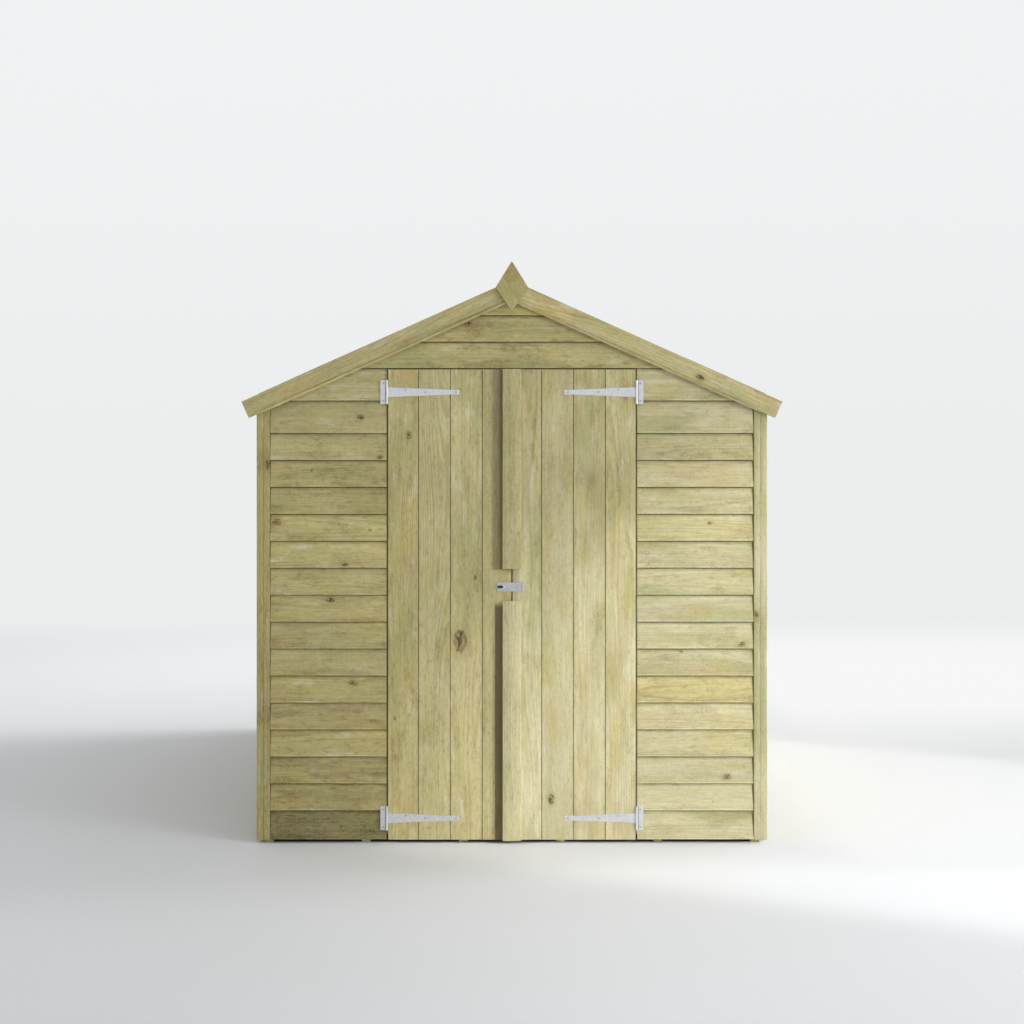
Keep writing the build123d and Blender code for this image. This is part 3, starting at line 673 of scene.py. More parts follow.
by_piece = piece_grain, piece_board, piece_knots
lapped_wood = wood("lapped_softwood", *by_piece, 1.0, "lapped")
door_wood = wood("door_softwood", *by_piece, 0.1, "jointed")
planed_wood = wood("planed_softwood", *by_piece, 0.1)
strip_wood = wood("strip_softwood", *by_piece, 0.1, "bare")
print("wood:", lapped_wood.name, door_wood.name, planed_wood.name, strip_wood.name)

# %% [markdown]
# The battens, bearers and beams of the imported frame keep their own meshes, which carry no grain
# coordinates. Their grain comes from where they stand instead: along the height for posts, along
# a wall for rails, and down the slope for rafters. Chance comes from the batten's place, rounded
# to steps that are wider than a batten.

# %% Wood for the framing
ROOF_RISE = 0.4473
ROOF_ANGLE = math.atan(ROOF_RISE)
CHANCE_STEPS = 4.0
FRAMING_PALE = 0.15


def framing_grain(direction):
    """A grain function for one direction of the framing."""

    def grain(g):
        x, y, z = g.place().parts()
        if direction == "up":
            return g.vector(z, x, y)
        if direction == "across":
            return g.vector(x, z, y)
        if direction == "back":
            return g.vector(y, x, z)
        out = x.math("ABSOLUTE")
        along = out * math.cos(ROOF_ANGLE) - z * math.sin(ROOF_ANGLE)
        width = out * math.sin(ROOF_ANGLE) + z * math.cos(ROOF_ANGLE)
        return g.vector(along, width, y)

    return grain


def framing_board(direction):
    """Chance for each batten, from the two coordinates that its grain doesn't run along."""

    def board(g):
        x, y, z = g.place().parts()
        steps = {"up": (x, y), "across": (y, z), "back": (x, z), "slope": (x.math("SIGN"), y)}
        first, second = steps[direction]
        place = g.vector(first, second, 0.37)
        step = place.math("MULTIPLY", CHANCE_STEPS).math("FLOOR")
        chance = g.luck(step).parts()[0]
        return g.vector(chance, 1.0, FRAMING_PALE)

    return board


def no_knots(g):
    return []


framing_wood = {}
for direction in ("up", "across", "back", "slope"):
    finish = framing_grain(direction), framing_board(direction), no_knots
    framing_wood[direction] = wood("framing_softwood_" + direction, *finish, 0.8, "hidden")

FRAMING_RUNS = {
    "up": ["front_studs", "back_studs", "right_wall_studs", "left_wall_studs"],
    "across": ["front_rails", "back_rails"],
    "back": ["floor_bearers", "right_wall_rails", "left_wall_rails", "roof_beams"],
    "slope": ["front_rafters", "back_rafters"],
}


def coat(piece, material):
    """Gives a piece one material all over."""
    piece.data.materials.clear()
    piece.data.materials.append(material)


for direction, names in FRAMING_RUNS.items():
    for name in names:
        coat(nodes[name], framing_wood[direction])
print("framing coated:", sum(len(names) for names in FRAMING_RUNS.values()), "nodes")

# %% [markdown]
# ## Strand board
# The floor and the roof are sheets of pressed flakes. Each flake is a thin chip about as long as
# a finger, laid at any angle. Cells of a Voronoi pattern, stretched and turned a different way in
# each of three layers, overlap like such flakes.

# %% Sheet board
FLAKE_PALE = (0.560, 0.420, 0.220)
FLAKE_DARK = (0.330, 0.210, 0.090)
FLAKE_LENGTH = 0.075
FLAKE_WIDTH = 0.016
FLAKE_TURNS = (0.35, 1.35, 2.45)

g = Graph(bpy.data.materials.new("strand_board"))
x, y, z = g.place().parts()
colour = g.mixed(0.5, FLAKE_PALE, FLAKE_DARK)
height = g.noise(g.vector(x * 30.0, y * 30.0, z * 30.0)) * 0.3
for number, turn in enumerate(FLAKE_TURNS):
    first = (x * math.cos(turn) + y * math.sin(turn)) / FLAKE_LENGTH
    second = (y * math.cos(turn) - x * math.sin(turn)) / FLAKE_WIDTH
    flake = g.vector(first, second, z * 3.0 + number * 5.0)
    pick_a, pick_b, pick_c = g.cells(flake, "Color").parts()
    edge = 1.0 - g.cells(flake).rise(0.35, 0.60)
    fibre = g.noise(g.vector(first * 3.0, second * 14.0, number + z), 2.0) - 0.5
    chip = g.shaded(g.mixed(pick_a, FLAKE_PALE, FLAKE_DARK), pick_c * 0.3 + 0.85 + fibre * 0.35)
    colour = g.mixed(pick_b.rise(0.35, 0.40) * edge, colour, chip)
    height = height + pick_b * edge * 0.4
sockets = {
    "Base Color": colour,
    "Roughness": 0.62 + height * 0.1,
    "Normal": g.bump(height, 0.0006),
}
strand_board = g.finish(sockets)
for name in ("floor_deck", "roof_deck_right", "roof_deck_left"):
    coat(nodes[name], strand_board)
print("strand board on the floor and the roof deck")

# %% [markdown]
# ## Galvanised steel
# The hinges and the hasp are dipped in zinc, which sets as large flat crystals. Each crystal is a
# Voronoi cell with its own brightness and roughness, and a little dust dulls the whole. The barrels
# of the hinges get a painted highlight beside a line of painted shadow along the knuckle, and the
# slot in the hasp is painted dark as shade, with a painted glint on its rim.

# %% Zinc
ZINC = (0.730, 0.745, 0.760)
ZINC_DULL = (0.560, 0.570, 0.580)
ZINC_HIGHLIGHT = (0.900, 0.910, 0.920)
ZINC_SHADE = (0.060, 0.065, 0.075)
CRYSTALS = 150.0
KNUCKLE_SHADOW_X = 0.4538
BARREL_INNER, BARREL_OUTER = (0.4460, 0.4470), (0.4515, 0.4525)
HASP_HEIGHT = 0.9208
HASP_HALF = (0.030, 0.032)
SLOT_X, SLOT_Z = -0.0416, 0.9215
SLOT_HALF_X, SLOT_HALF_Z = 0.0115, 0.0055

g = Graph(bpy.data.materials.new("zinc_coat"))
place = g.place()
bent = place + g.noise(place * 160.0, 2.0, "Color").math("MULTIPLY", 0.0025)
crystal_a, crystal_b, crystal_c = g.cells(bent * CRYSTALS, "Color").parts()
dust = g.noise(place * 45.0, 4.0)
scratches = g.noise(place.math("MULTIPLY", 900.0), 2.0) - 0.5
streak = g.noise(place * 70.0, 2.0) - 0.5
colour = g.mixed(crystal_a * 0.45 + dust.rise(0.5, 0.8) * 0.4, ZINC, ZINC_DULL)
x, _, z = place.parts()
out = x.math("ABSOLUTE")
# A line of painted shadow beside each hinge knuckle, and a painted highlight on its barrel.
knuckle_shadow = 1.0 - (out - KNUCKLE_SHADOW_X).math("ABSOLUTE").rise(0.0010, 0.0020)
barrel_highlight = out.rise(*BARREL_INNER) * (1.0 - out.rise(*BARREL_OUTER))
colour = g.mixed(barrel_highlight * 0.55, g.mixed(knuckle_shadow * 0.6, colour, ZINC_SHADE), ZINC_HIGHLIGHT)
# The slot in the hasp is painted dark as shade, with a painted glint on the right of its rim.
slot_x = (x - SLOT_X) / SLOT_HALF_X
slot_z = (z - SLOT_Z) / SLOT_HALF_Z
from_slot = (slot_x * slot_x + slot_z * slot_z) ** 0.5
hasp = 1.0 - (z - HASP_HEIGHT).math("ABSOLUTE").rise(*HASP_HALF)
glint = (1.0 - (from_slot - 1.30).math("ABSOLUTE").rise(0.15, 0.30)) * slot_x.rise(0.5, 0.9)
colour = g.shaded(colour, 1.0 - hasp * (0.22 + streak * 0.25))
colour = g.mixed(glint * 0.8, colour, ZINC_HIGHLIGHT)
colour = g.mixed(1.0 - from_slot.rise(0.85, 1.05), colour, ZINC_SHADE)
sockets = {
    "Base Color": g.shaded(colour, 1.0 + scratches * 0.10),
    "Metallic": 0.80 - dust.rise(0.55, 0.85) * 0.25,
    "Roughness": 0.40 + crystal_b * 0.14 + scratches * 0.10,
    "Normal": g.bump(crystal_c * 0.5 + scratches * 0.3, 0.00012),
}
zinc = g.finish(sockets)
METAL_NODES = (
    "hinge_plates",
    "right_hinge_straps",
    "left_hinge_straps",
    "hasp_leaf",
    "hasp_flap",
    "hasp_staple",
)
for name in METAL_NODES:
    coat(nodes[name], zinc)
print("zinc on", len(METAL_NODES), "nodes")

# %% [markdown]
# ## Modelling helpers
# Every wooden piece starts as a straight length of timber that lies along X with its face towards
# the viewer. Its long arrises are rounded and it is cut into short stretches, so that it can be
# bent a little. Then it is turned, sawn and put where the frame wants it, as a carpenter would.

# %% Timber
AXES = {"X": Vector((1, 0, 0)), "Y": Vector((0, 1, 0)), "Z": Vector((0, 0, 1))}
FACING = {"front": 0.0, "right": 90.0, "back": 180.0, "left": -90.0}


def runs_along(edge, axis):
    """True if an edge is parallel to an axis."""
    run = (edge.verts[1].co - edge.verts[0].co).normalized()
    return abs(run.dot(AXES[axis])) > 0.999


def timber(name, x0, x1, depth, width, arris=0.001, segments=1, stretch=0.25):
    """A length of wood from x0 to x1, centred on its depth and width."""
    deselect_all()
    bpy.ops.mesh.primitive_cube_add(size=1, location=((x0 + x1) / 2, 0, 0))
    piece = named_start(name, (x1 - x0, depth, width))
    with editing(piece, "EDGE"):
        pick(piece, "edges", lambda e: runs_along(e, "X"))
        bpy.ops.mesh.bevel(offset=arris, segments=segments, affect="EDGES")
        bpy.ops.mesh.select_all(action="DESELECT")
        pick(piece, "edges", lambda e: runs_along(e, "X"))
        cuts = int((x1 - x0) / stretch)
        if cuts:
            bpy.ops.mesh.subdivide(number_cuts=cuts)
    return piece


def copied(piece, name):
    """The same piece again, with a mesh of its own."""
    twin = piece.copy()
    twin.data = piece.data.copy()
    twin.name = twin.data.name = name
    bpy.context.scene.collection.objects.link(twin)
    return twin


def moved(piece, by=(0, 0, 0), turn=0.0, axis="Z"):
    """Turns a piece about the origin and then moves it, and settles both into its mesh."""
    choose(piece)
    piece.matrix_world = Matrix.Translation(by) @ Matrix.Rotation(math.radians(turn), 4, axis)
    bpy.ops.object.transform_apply(location=True, rotation=True, scale=False)
    return piece


def stood_up(piece):
    """Turns a length that lies along X a quarter about Y, which carries it to Z."""
    return moved(piece, turn=-90, axis="Y")


def sawn_off(piece, point, outward):
    """Takes away what lies beyond a plane and closes the cut."""
    with editing(piece):
        bpy.ops.mesh.select_all(action="SELECT")
        bpy.ops.mesh.bisect(plane_co=point, plane_no=outward, use_fill=True, clear_outer=True)
    return piece


print("timber helpers ready")

# %% Grain coordinates
GRAIN_RUN = 6
KNOT_REACH = 0.42
KNOT_SIZES = (0.0025, 0.0105)
PALE_LUCK = 0.25


def write_attribute(piece, name, values):
    """Stores a vector for each vertex, or one for all of them."""
    kept = piece.data.attributes.new(name, "FLOAT_VECTOR", "POINT")
    for index, item in enumerate(kept.data):
        item.vector = values(index) if callable(values) else values


def lay_grain(piece, width, pale=0.1, knots=(), knot_chance=0.3, tree=None, quartered=False):
    """Writes the grain coordinates of a piece that still lies along X, and its knots.
    Pieces with the same tree look alike. Two values for pale are those of the two ends.
    A quartered piece was sawn the other way round, so its broad side has straight lines."""
    chance = random.Random(tree or piece.name)
    start = chance.uniform(0, GRAIN_RUN)
    seed = chance.uniform(0, 1)
    places = [v.co.copy() for v in piece.data.vertices]
    low = min(co.x for co in places)
    high = max(co.x for co in places)

    def grain_at(index):
        x, y, z = places[index]
        return (x + start, y, z) if quartered else (x + start, z, y)

    write_attribute(piece, "grain", grain_at)
    found = list(knots)
    while len(found) < 2:
        along = chance.uniform(low, high)
        across = chance.uniform(-KNOT_REACH, KNOT_REACH) * width
        size = chance.uniform(*KNOT_SIZES) if chance.random() < knot_chance else 0.0
        found.append((along, across, size))
    for name, (along, across, size) in zip(("knot_one", "knot_two"), found):
        write_attribute(piece, name, (along + start, across, size))
    first, last = pale if isinstance(pale, tuple) else (pale, pale)
    lighter = chance.uniform(0, PALE_LUCK)

    def board_at(index):
        share = (places[index].x - low) / (high - low)
        return seed, width / 2, first + lighter + (last - first) * share

    write_attribute(piece, "board", board_at)


print("chance knots are up to", KNOT_SIZES[1] * 2000, "mm wide")

# %% Last steps of a piece
SMOOTH_BELOW = 32


def fitted(piece, body, material, replaces=()):
    """The last steps of every piece: smooth faces, its finish, its body and what it stands for."""
    choose(piece)
    bpy.ops.object.shade_smooth_by_angle(angle=math.radians(SMOOTH_BELOW))
    coat(piece, material)
    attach(piece, body)
    if replaces:
        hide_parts(*replaces)
    return piece


print("faces are smooth across edges below", SMOOTH_BELOW, "degrees")

# %% [markdown]
# ## Lapped boards
# The walls are thin sawn boards that lap each other like tiles, each nailed a little over the one
# below. Every board is a piece of its own, because each has its own grain. All are cut from one
# long stock board whose lower edge wanders by a millimetre or so, as a bandsaw leaves it. Each
# board could be bent by itself, but bending the stock once and sawing from different stretches of
# it is quicker, and it gives edges that are never twice the same.

# %% Stock board
GABLE_FACE = 1.203
SIDE_FACE = 0.8918
RIDGE_HEIGHT = 2.0085
BOARD_THICKNESS = 0.0073
BOARD_LEAN = 0.0085
STOCK_LENGTH = 7.2
STOCK_WIDTH = 0.152
STOCK_ARRIS = 0.0011
STOCK_STRETCH = 0.045
EDGE_WANDER = 0.0032
WARP = 0.0014


def wavy(piece, axis, strength, size, wanted=None, middle=0.5):
    """Moves all vertices, or the wanted ones alone, along an axis by soft noise."""
    cloud = bpy.data.textures.new("soft_cloud", "CLOUDS")
    cloud.noise_scale = size
    cloud.noise_depth = 1
    choose(piece)
    bpy.ops.object.modifier_add(type="DISPLACE")
    waves = piece.modifiers[-1]
    waves.texture = cloud
    waves.direction = axis
    waves.strength = strength
    waves.mid_level = middle
    if wanted:
        chosen = piece.vertex_groups.new(name="moved")
        chosen.add([v.index for v in piece.data.vertices if wanted(v.co)], 1.0, "REPLACE")
        waves.vertex_group = "moved"
    bpy.ops.object.modifier_apply(modifier=waves.name)
    piece.vertex_groups.clear()
    return piece


half_stock = STOCK_LENGTH / 2
section = BOARD_THICKNESS, STOCK_WIDTH, STOCK_ARRIS
stock = timber("stock", -half_stock, half_stock, *section, 2, STOCK_STRETCH)
wavy(stock, "Z", EDGE_WANDER, 0.22, lambda co: co.z < 0)
wavy(stock, "Z", EDGE_WANDER * 0.35, 0.05, lambda co: co.z < 0)
wavy(stock, "Y", WARP, 0.6)
print("stock board:", len(stock.data.polygons), "faces")

# %% [markdown]
# A wall is a list of lower edges, from the ground up. Each board leans out by its own thickness
# over its height, which a small turn about its length gives. The four walls are made facing the
# front and then swung round the shed. Boards under the roof are cut by its two slopes.

# %% Courses and slopes
LOWER_EDGES = [0.014, 0.1178]
COURSE_STEPS = [0.0968] * 14 + [0.1166] * 2 + [0.0948] * 2
for step in COURSE_STEPS:
    LOWER_EDGES.append(LOWER_EDGES[-1] + step)
PANEL_COURSES = 17
SIDE_COURSES = 16
DOOR_SIDE = 0.450
BOARD_REACH = 0.8663
SIDE_REACH = 1.163
EAVES_HEIGHT = RIDGE_HEIGHT - ROOF_RISE * SIDE_FACE
ROOF_SLOPES = [Vector((side * ROOF_RISE, 0, 1)).normalized() for side in (1, -1)]


def under_roof(piece):
    """Cuts a piece off under both slopes of the roof, where it reaches them."""
    ridge = Vector((0, 0, RIDGE_HEIGHT))
    for outward in ROOF_SLOPES:
        if max((v.co - ridge).dot(outward) for v in piece.data.vertices) > 0:
            sawn_off(piece, ridge, outward)
    return piece


print("courses:", len(LOWER_EDGES), "eaves at", round(EAVES_HEIGHT, 3))

# %% One lapped board
FOOT_OVERLAP = 0.0018
CUT_SLACK = ((-1, 0.002), (1, 0.0075))
CLEARANCE = 0.0001
SHORT_KNOTTY = 0.10
LONG_KNOTTY = 0.55
NAIL_RISE = 0.017
NAIL_OUT = 0.016
ROOF_COVER = 0.045
PANEL_KNOTS = (
    (-0.844, 1.154, 0.0105),
    (-0.510, 1.125, 0.0035),
    (0.7105, 1.149, 0.0045),
    (0.7715, 0.2387, 0.0085),
    (-0.475, 1.385, 0.0060),
    (-0.545, 1.530, 0.0070),
)
nail_places = []


def lapped_board(name, body, facing, x0, x1, low, top, pale, node, studs=()):
    """One board of a wall, whose exposed face runs from low to top. Ends at a corner are sawn a
    little off square, which leaves a thin wedge of a gap beside the corner strip."""
    chance = random.Random("place of " + name)
    height = top - low + LAP
    board = copied(stock, name)
    slide = chance.uniform(x1 - half_stock, x0 + half_stock)
    moved(board, (slide, 0, 0))
    for end, (way, slack) in zip((x0, x1), CUT_SLACK):
        corner = abs(end) > DOOR_SIDE
        lost = chance.uniform(0.5, 1.0) * slack / height if corner else 0.0
        foot = end + way * FOOT_OVERLAP * corner
        sawn_off(board, (foot, 0, -STOCK_WIDTH / 2), Vector((way, 0, lost)).normalized())
    sawn_off(board, (0, 0, height - STOCK_WIDTH / 2), (0, 0, 1))
    moved(board, (0, 0, (STOCK_WIDTH - height) / 2))
    knots = [(x, z - low - height / 2, size) for x, z, size in PANEL_KNOTS
             if facing == "front" and x0 < x < x1 and low < z < top]
    lay_grain(board, height, pale, knots, SHORT_KNOTTY if x1 - x0 < 1 else LONG_KNOTTY)
    lean = math.degrees(math.atan(BOARD_LEAN / height))
    face = SIDE_FACE if facing in ("right", "left") else GABLE_FACE
    out = face + BOARD_LEAN / 2 + BOARD_THICKNESS / 2 + CLEARANCE
    moved(board, turn=-lean, axis="X")
    moved(board, (0, -out, low + height / 2))
    moved(board, turn=FACING[facing])
    under_roof(board)
    nail_out = face + NAIL_OUT - BOARD_LEAN * NAIL_RISE / height
    for stud in studs:
        roof_there = RIDGE_HEIGHT - ROOF_RISE * abs(stud)
        covered = facing in ("front", "back") and low + NAIL_RISE > roof_there - ROOF_COVER
        if x0 < stud < x1 and not covered:
            shift = chance.uniform(-0.007, 0.007)
            rise = NAIL_RISE + chance.uniform(-0.003, 0.004)
            nail_places.append((facing, stud + shift, nail_out, low + rise, lean))
    return fitted(board, body, lapped_wood, replaces=(node,))


print("knots with places of their own:", len(PANEL_KNOTS))

# %% Walls of boards
GROUND_SHADE_BY_COURSE = (0.78, 0.48, 0.30)
BOARD_TONES = {
    "left_panel_board_06": -0.12,
    "left_panel_board_17": 0.28,
    "right_panel_board_01": 0.14,
    "right_panel_board_03": 0.30,
    "right_panel_board_06": -0.48,
    "right_panel_board_09": 0.24,
    "right_panel_board_12": -0.28,
    "right_panel_board_15": -0.34,
}


def wall(prefix, facing, x0, x1, edges, top, pale, node, studs, ground_shade=0.0):
    """A run of boards, one above the other. The lowest ones are painted darker, as painted shade
    near the ground.
    """
    for number, low in enumerate(edges):
        upper = edges[number + 1] if number + 1 < len(edges) else top
        name = f"{prefix}_{number + 1:02d}"
        ground_darkening = GROUND_SHADE_BY_COURSE[number] * ground_shade if number < len(GROUND_SHADE_BY_COURSE) else 0.0
        tone = pale - ground_darkening + BOARD_TONES.get(name, 0.0)
        lapped_board(name, "shed", facing, x0, x1, low, upper, tone, node, studs)


panel = LOWER_EDGES[:PANEL_COURSES]
gable = LOWER_EDGES[PANEL_COURSES:]
gable_low = gable[0]
sides = LOWER_EDGES[:SIDE_COURSES]
front_studs = (-0.852, -0.462, 0.462, 0.852)
# The right panel is given a paler tone than the left: painted light, as the right of the front is
# lit brightest. The left panel, the back and the sides get painted shade near the ground on their
# lowest boards.
wall("left_panel_board", "front", -BOARD_REACH, -DOOR_SIDE, panel, gable_low, 0.0,
     "front_cladding_left", front_studs, 0.95)
wall("right_panel_board", "front", DOOR_SIDE, BOARD_REACH, panel, gable_low, 0.60,
     "front_cladding_right", front_studs)
wall("front_gable_board", "front", -BOARD_REACH, BOARD_REACH, gable, RIDGE_HEIGHT, -0.10,
     "front_cladding_gable", (-0.71, -0.45, 0.0, 0.45, 0.71))
back_studs = (-0.855, -0.3, 0.3, 0.855)
wall("back_board", "back", -BOARD_REACH, BOARD_REACH, panel, gable_low, 0.10,
     "back_cladding", back_studs, 0.6)
wall("back_gable_board", "back", -BOARD_REACH, BOARD_REACH, gable, RIDGE_HEIGHT, 0.05,
     "back_cladding_gable", (-0.71, -0.3, 0.3, 0.71))
side_studs = (-1.153, -0.5765, 0.0, 0.5765, 1.153)
for side, pale in (("right", 0.12), ("left", 0.05)):
    wall(side + "_wall_board", side, -SIDE_REACH, SIDE_REACH, sides, EAVES_HEIGHT, pale,
         side + "_wall_cladding", side_studs, 0.6)
board_count = len([o for o in bpy.data.objects if "_board_" in o.name])
print("boards:", board_count, "nails:", len(nail_places))

# %% [markdown]
# ## Corner strips
# Two upright strips close each corner, one facing forward and one facing sideways. The photograph
# shows them as one face, as if both were cut from one piece of wood. A corner post could be one
# piece, but the joint between the two shows from the side, so each strip is made by itself, with
# the same tree for its grain. Both are laid along X, get their grain, are stood up and then moved
# to the corner.

# %% Corner strips
GROUND_GAP = 0.014
STRIP_STRETCH = 0.12
STRIP_ARRIS = 0.0007
FRONT_STRIP_LONG = 1.63
FRONT_STRIP_DEPTH = 0.016
FRONT_STRIP_WIDTH = 0.0219
FRONT_STRIP_MIDDLE = 0.88025
SIDE_STRIP_TOP = 1.5763
SIDE_STRIP_DEPTH = 0.0246
SIDE_STRIP_WIDTH = 0.0536
SIDE_STRIP_BACK = 0.0112
STRIP_BOW = (0.0012, 0.4)
# Front corner strips: the right ones are paler towards the foot, as painted light, and the left
# ones darker towards the foot, as painted shade.
STRIP_TONE_AND_LIGHT = {("front", "right"): (0.90, 0.62), ("front", "left"): (-0.58, -0.42)}
STRIP_PALE_ELSEWHERE = -0.22
SIDES = (("left", -1), ("right", 1))
front_section = FRONT_STRIP_DEPTH, FRONT_STRIP_WIDTH, STRIP_ARRIS
side_section = SIDE_STRIP_DEPTH, SIDE_STRIP_WIDTH, STRIP_ARRIS

for gable_side in ("front", "back"):
    for side, sign in SIDES:
        node = gable_side + "_corner_strips"
        pale = STRIP_TONE_AND_LIGHT.get((gable_side, side), STRIP_PALE_ELSEWHERE)
        tree = f"corner {gable_side} {side}"
        name = f"{gable_side}_{side}_corner_strip"
        strip = timber(name, GROUND_GAP, FRONT_STRIP_LONG, *front_section, 2, STRIP_STRETCH)
        wavy(strip, "Z", *STRIP_BOW)
        lay_grain(strip, FRONT_STRIP_WIDTH, pale, tree=tree)
        stood_up(strip)
        moved(strip, (sign * FRONT_STRIP_MIDDLE, -GABLE_FACE - FRONT_STRIP_DEPTH / 2, 0))
        under_roof(strip)
        moved(strip, turn=FACING[gable_side])
        fitted(strip, "shed", strip_wood, replaces=(node,))
        name = f"{gable_side}_{side}_side_strip"
        strip = timber(name, GROUND_GAP, SIDE_STRIP_TOP, *side_section, 2, STRIP_STRETCH)
        lay_grain(strip, SIDE_STRIP_WIDTH, pale, (), 0.0, tree, quartered=True)
        stood_up(strip)
        moved(strip, turn=90)
        out = SIDE_FACE + SIDE_STRIP_DEPTH / 2
        moved(strip, (sign * out, -GABLE_FACE + SIDE_STRIP_BACK, 0))
        moved(strip, turn=FACING[gable_side])
        fitted(strip, "shed", strip_wood, replaces=(node,))
print("corner strips: 8")

# %% [markdown]
# ## Barge boards and finials
# The sloping boards that close the roof's ends are planed and have their lower front corner
# rounded over, which shows as a bright line, together with a painted highlight along the arrises.
# They are mitred at the peak. Two boards could be drawn as one bent shape, but the grain has to
# turn at the mitre, so each is made past the peak and sawn off there.

# %% Barge boards
BARGE_PEAK = 2.01823
BARGE_WIDTH = 0.063
BARGE_THICKNESS = 0.016
BARGE_MIDDLE = 0.024
BARGE_REACH = 0.968
BARGE_SPARE = 0.05
BARGE_ARRIS = 0.0015
BARGE_ROUND = 0.0065
BARGE_STRETCH = 0.11
BARGE_BOW = (0.0010, 0.35)
MITRE_HALF = 0.0003
LOWER_FRONT = (-0.006, -0.030)

barge_run = BARGE_REACH / math.cos(ROOF_ANGLE)
slope_degrees = math.degrees(ROOF_ANGLE)
section = BARGE_THICKNESS, BARGE_WIDTH, BARGE_ARRIS


def lower_front(edge):
    """True for the long edges at the lower front corner of a barge board that lies along X."""
    front, low = LOWER_FRONT
    return runs_along(edge, "X") and all(v.co.y < front and v.co.z < low for v in edge.verts)


for gable_side in ("front", "back"):
    for side, sign in SIDES:
        name = f"{gable_side}_{side}_barge_board"
        ends = sorted((-BARGE_SPARE * sign, barge_run * sign))
        board = timber(name, *ends, *section, 2, BARGE_STRETCH)
        with editing(board, "EDGE"):
            pick(board, "edges", lower_front)
            bpy.ops.mesh.bevel(offset=BARGE_ROUND, segments=4, affect="EDGES")
        wavy(board, "Z", *BARGE_BOW)
        lay_grain(board, BARGE_WIDTH, 0.05, (), 0.4)
        moved(board, (0, 0, -BARGE_WIDTH / 2))
        moved(board, (0, -GABLE_FACE - BARGE_MIDDLE, BARGE_PEAK), sign * slope_degrees, "Y")
        sawn_off(board, (sign * MITRE_HALF, 0, 0), (-sign, 0, 0))
        moved(board, turn=FACING[gable_side])
        fitted(board, "shed", planed_wood, replaces=(gable_side + "_barge_boards",))
print("barge boards: 4")

# %% [markdown]
# A diamond covers the mitre. An outline could be filled and thickened, but a real one is cut out
# of a board that lies at a slant, and so is this, which slants its grain as well.

# %% Finials
FINIAL_SLANT = 58.3
FINIAL_BLANK = (0.30, 0.26)
FINIAL_THICKNESS = 0.016
FINIAL_CENTRE = 1.9956
FINIAL_MIDDLE = 0.040
FINIAL_ARRIS = 0.0008
FINIAL_PALE = -0.30
NO_KNOT = (0, 0.2, 0)
FINIAL_OUTLINE = (
    (0, 2.0851),
    (0.0568, 1.9931),
    (0.0568, 1.9891),
    (0, 1.9061),
    (-0.0568, 1.9891),
    (-0.0568, 1.9931),
)

blank_length, blank_width = FINIAL_BLANK
ends = -blank_length / 2, blank_length / 2
front = -GABLE_FACE - FINIAL_MIDDLE - FINIAL_THICKNESS / 2
corners = FINIAL_OUTLINE + FINIAL_OUTLINE[:1]
for gable_side in ("front", "back"):
    name = gable_side + "_finial_diamond"
    finial = timber(name, *ends, FINIAL_THICKNESS, blank_width, stretch=blank_length * 2)
    lay_grain(finial, blank_width, FINIAL_PALE, (NO_KNOT, NO_KNOT))
    moved(finial, (0, -GABLE_FACE - FINIAL_MIDDLE, FINIAL_CENTRE), FINIAL_SLANT, "Y")
    for (xa, za), (xb, zb) in zip(corners, corners[1:]):
        outward = Vector((za - zb, 0, xb - xa)).normalized()
        sawn_off(finial, (xa, 0, za), outward)
    with editing(finial, "EDGE"):
        pick(finial, "edges", lambda e: all(v.co.y < front + 0.001 for v in e.verts))
        bpy.ops.mesh.bevel(offset=FINIAL_ARRIS, segments=2, affect="EDGES")
    moved(finial, turn=FACING[gable_side])
    fitted(finial, "shed", planed_wood, replaces=(gable_side + "_finial",))
print("finials: 2")

# %% [markdown]
# ## Doors
# Each leaf is four tongued and grooved boards, nailed to three ledges and two braces behind. The
# tongue is pushed out of one edge and the groove into the other before the board is sawn to
# length, so that both ends show the joint's real section. Small chamfers on the arrises make the
# V at each joint.

# %% Door boards
LEAVES = (("right_door", 1), ("left_door", -1))
DOOR_TOP = 1.7012
DOOR_THICKNESS = 0.012
DOOR_MIDDLE = 0.011
DOOR_STRETCH = 0.14
# The right leaf is paler than the left and palest at its foot: painted light, as the lower right of
# the front is lit brightest.
DOOR_TONE_AND_LIGHT = {"right_door": (0.84, 0.28), "left_door": 0.14}
LEAF_JOINTS = (0.003, 0.1066, 0.2210, 0.3354, 0.445)
MEETING_REACH = 0.0016
JOINT_GAP = 0.00035
CHAMFER = 0.0019
TONGUE = 0.0045
TONGUE_HALF = 0.002
GROOVE_SPARE = 0.0006
SAW_SPARE = 0.02
DOOR_KNOTS = {
    "left_door_board_2": ((0.7276, 0.0232, 0.0235), (0.955, -0.032, 0.0045)),
    "left_door_board_4": ((1.466, -0.020, 0.0085), (0.45, 0.03, 0.004)),
}


def joint_edge(piece, side, run):
    """Pushes the middle strip of one long edge out as a tongue, or in as a groove."""
    with editing(piece):
        pick(piece, "faces", lambda f: f.normal.z * side > 0.9
             and abs(f.calc_center_median().y) < TONGUE_HALF)
        push_out((0, 0, side * run))


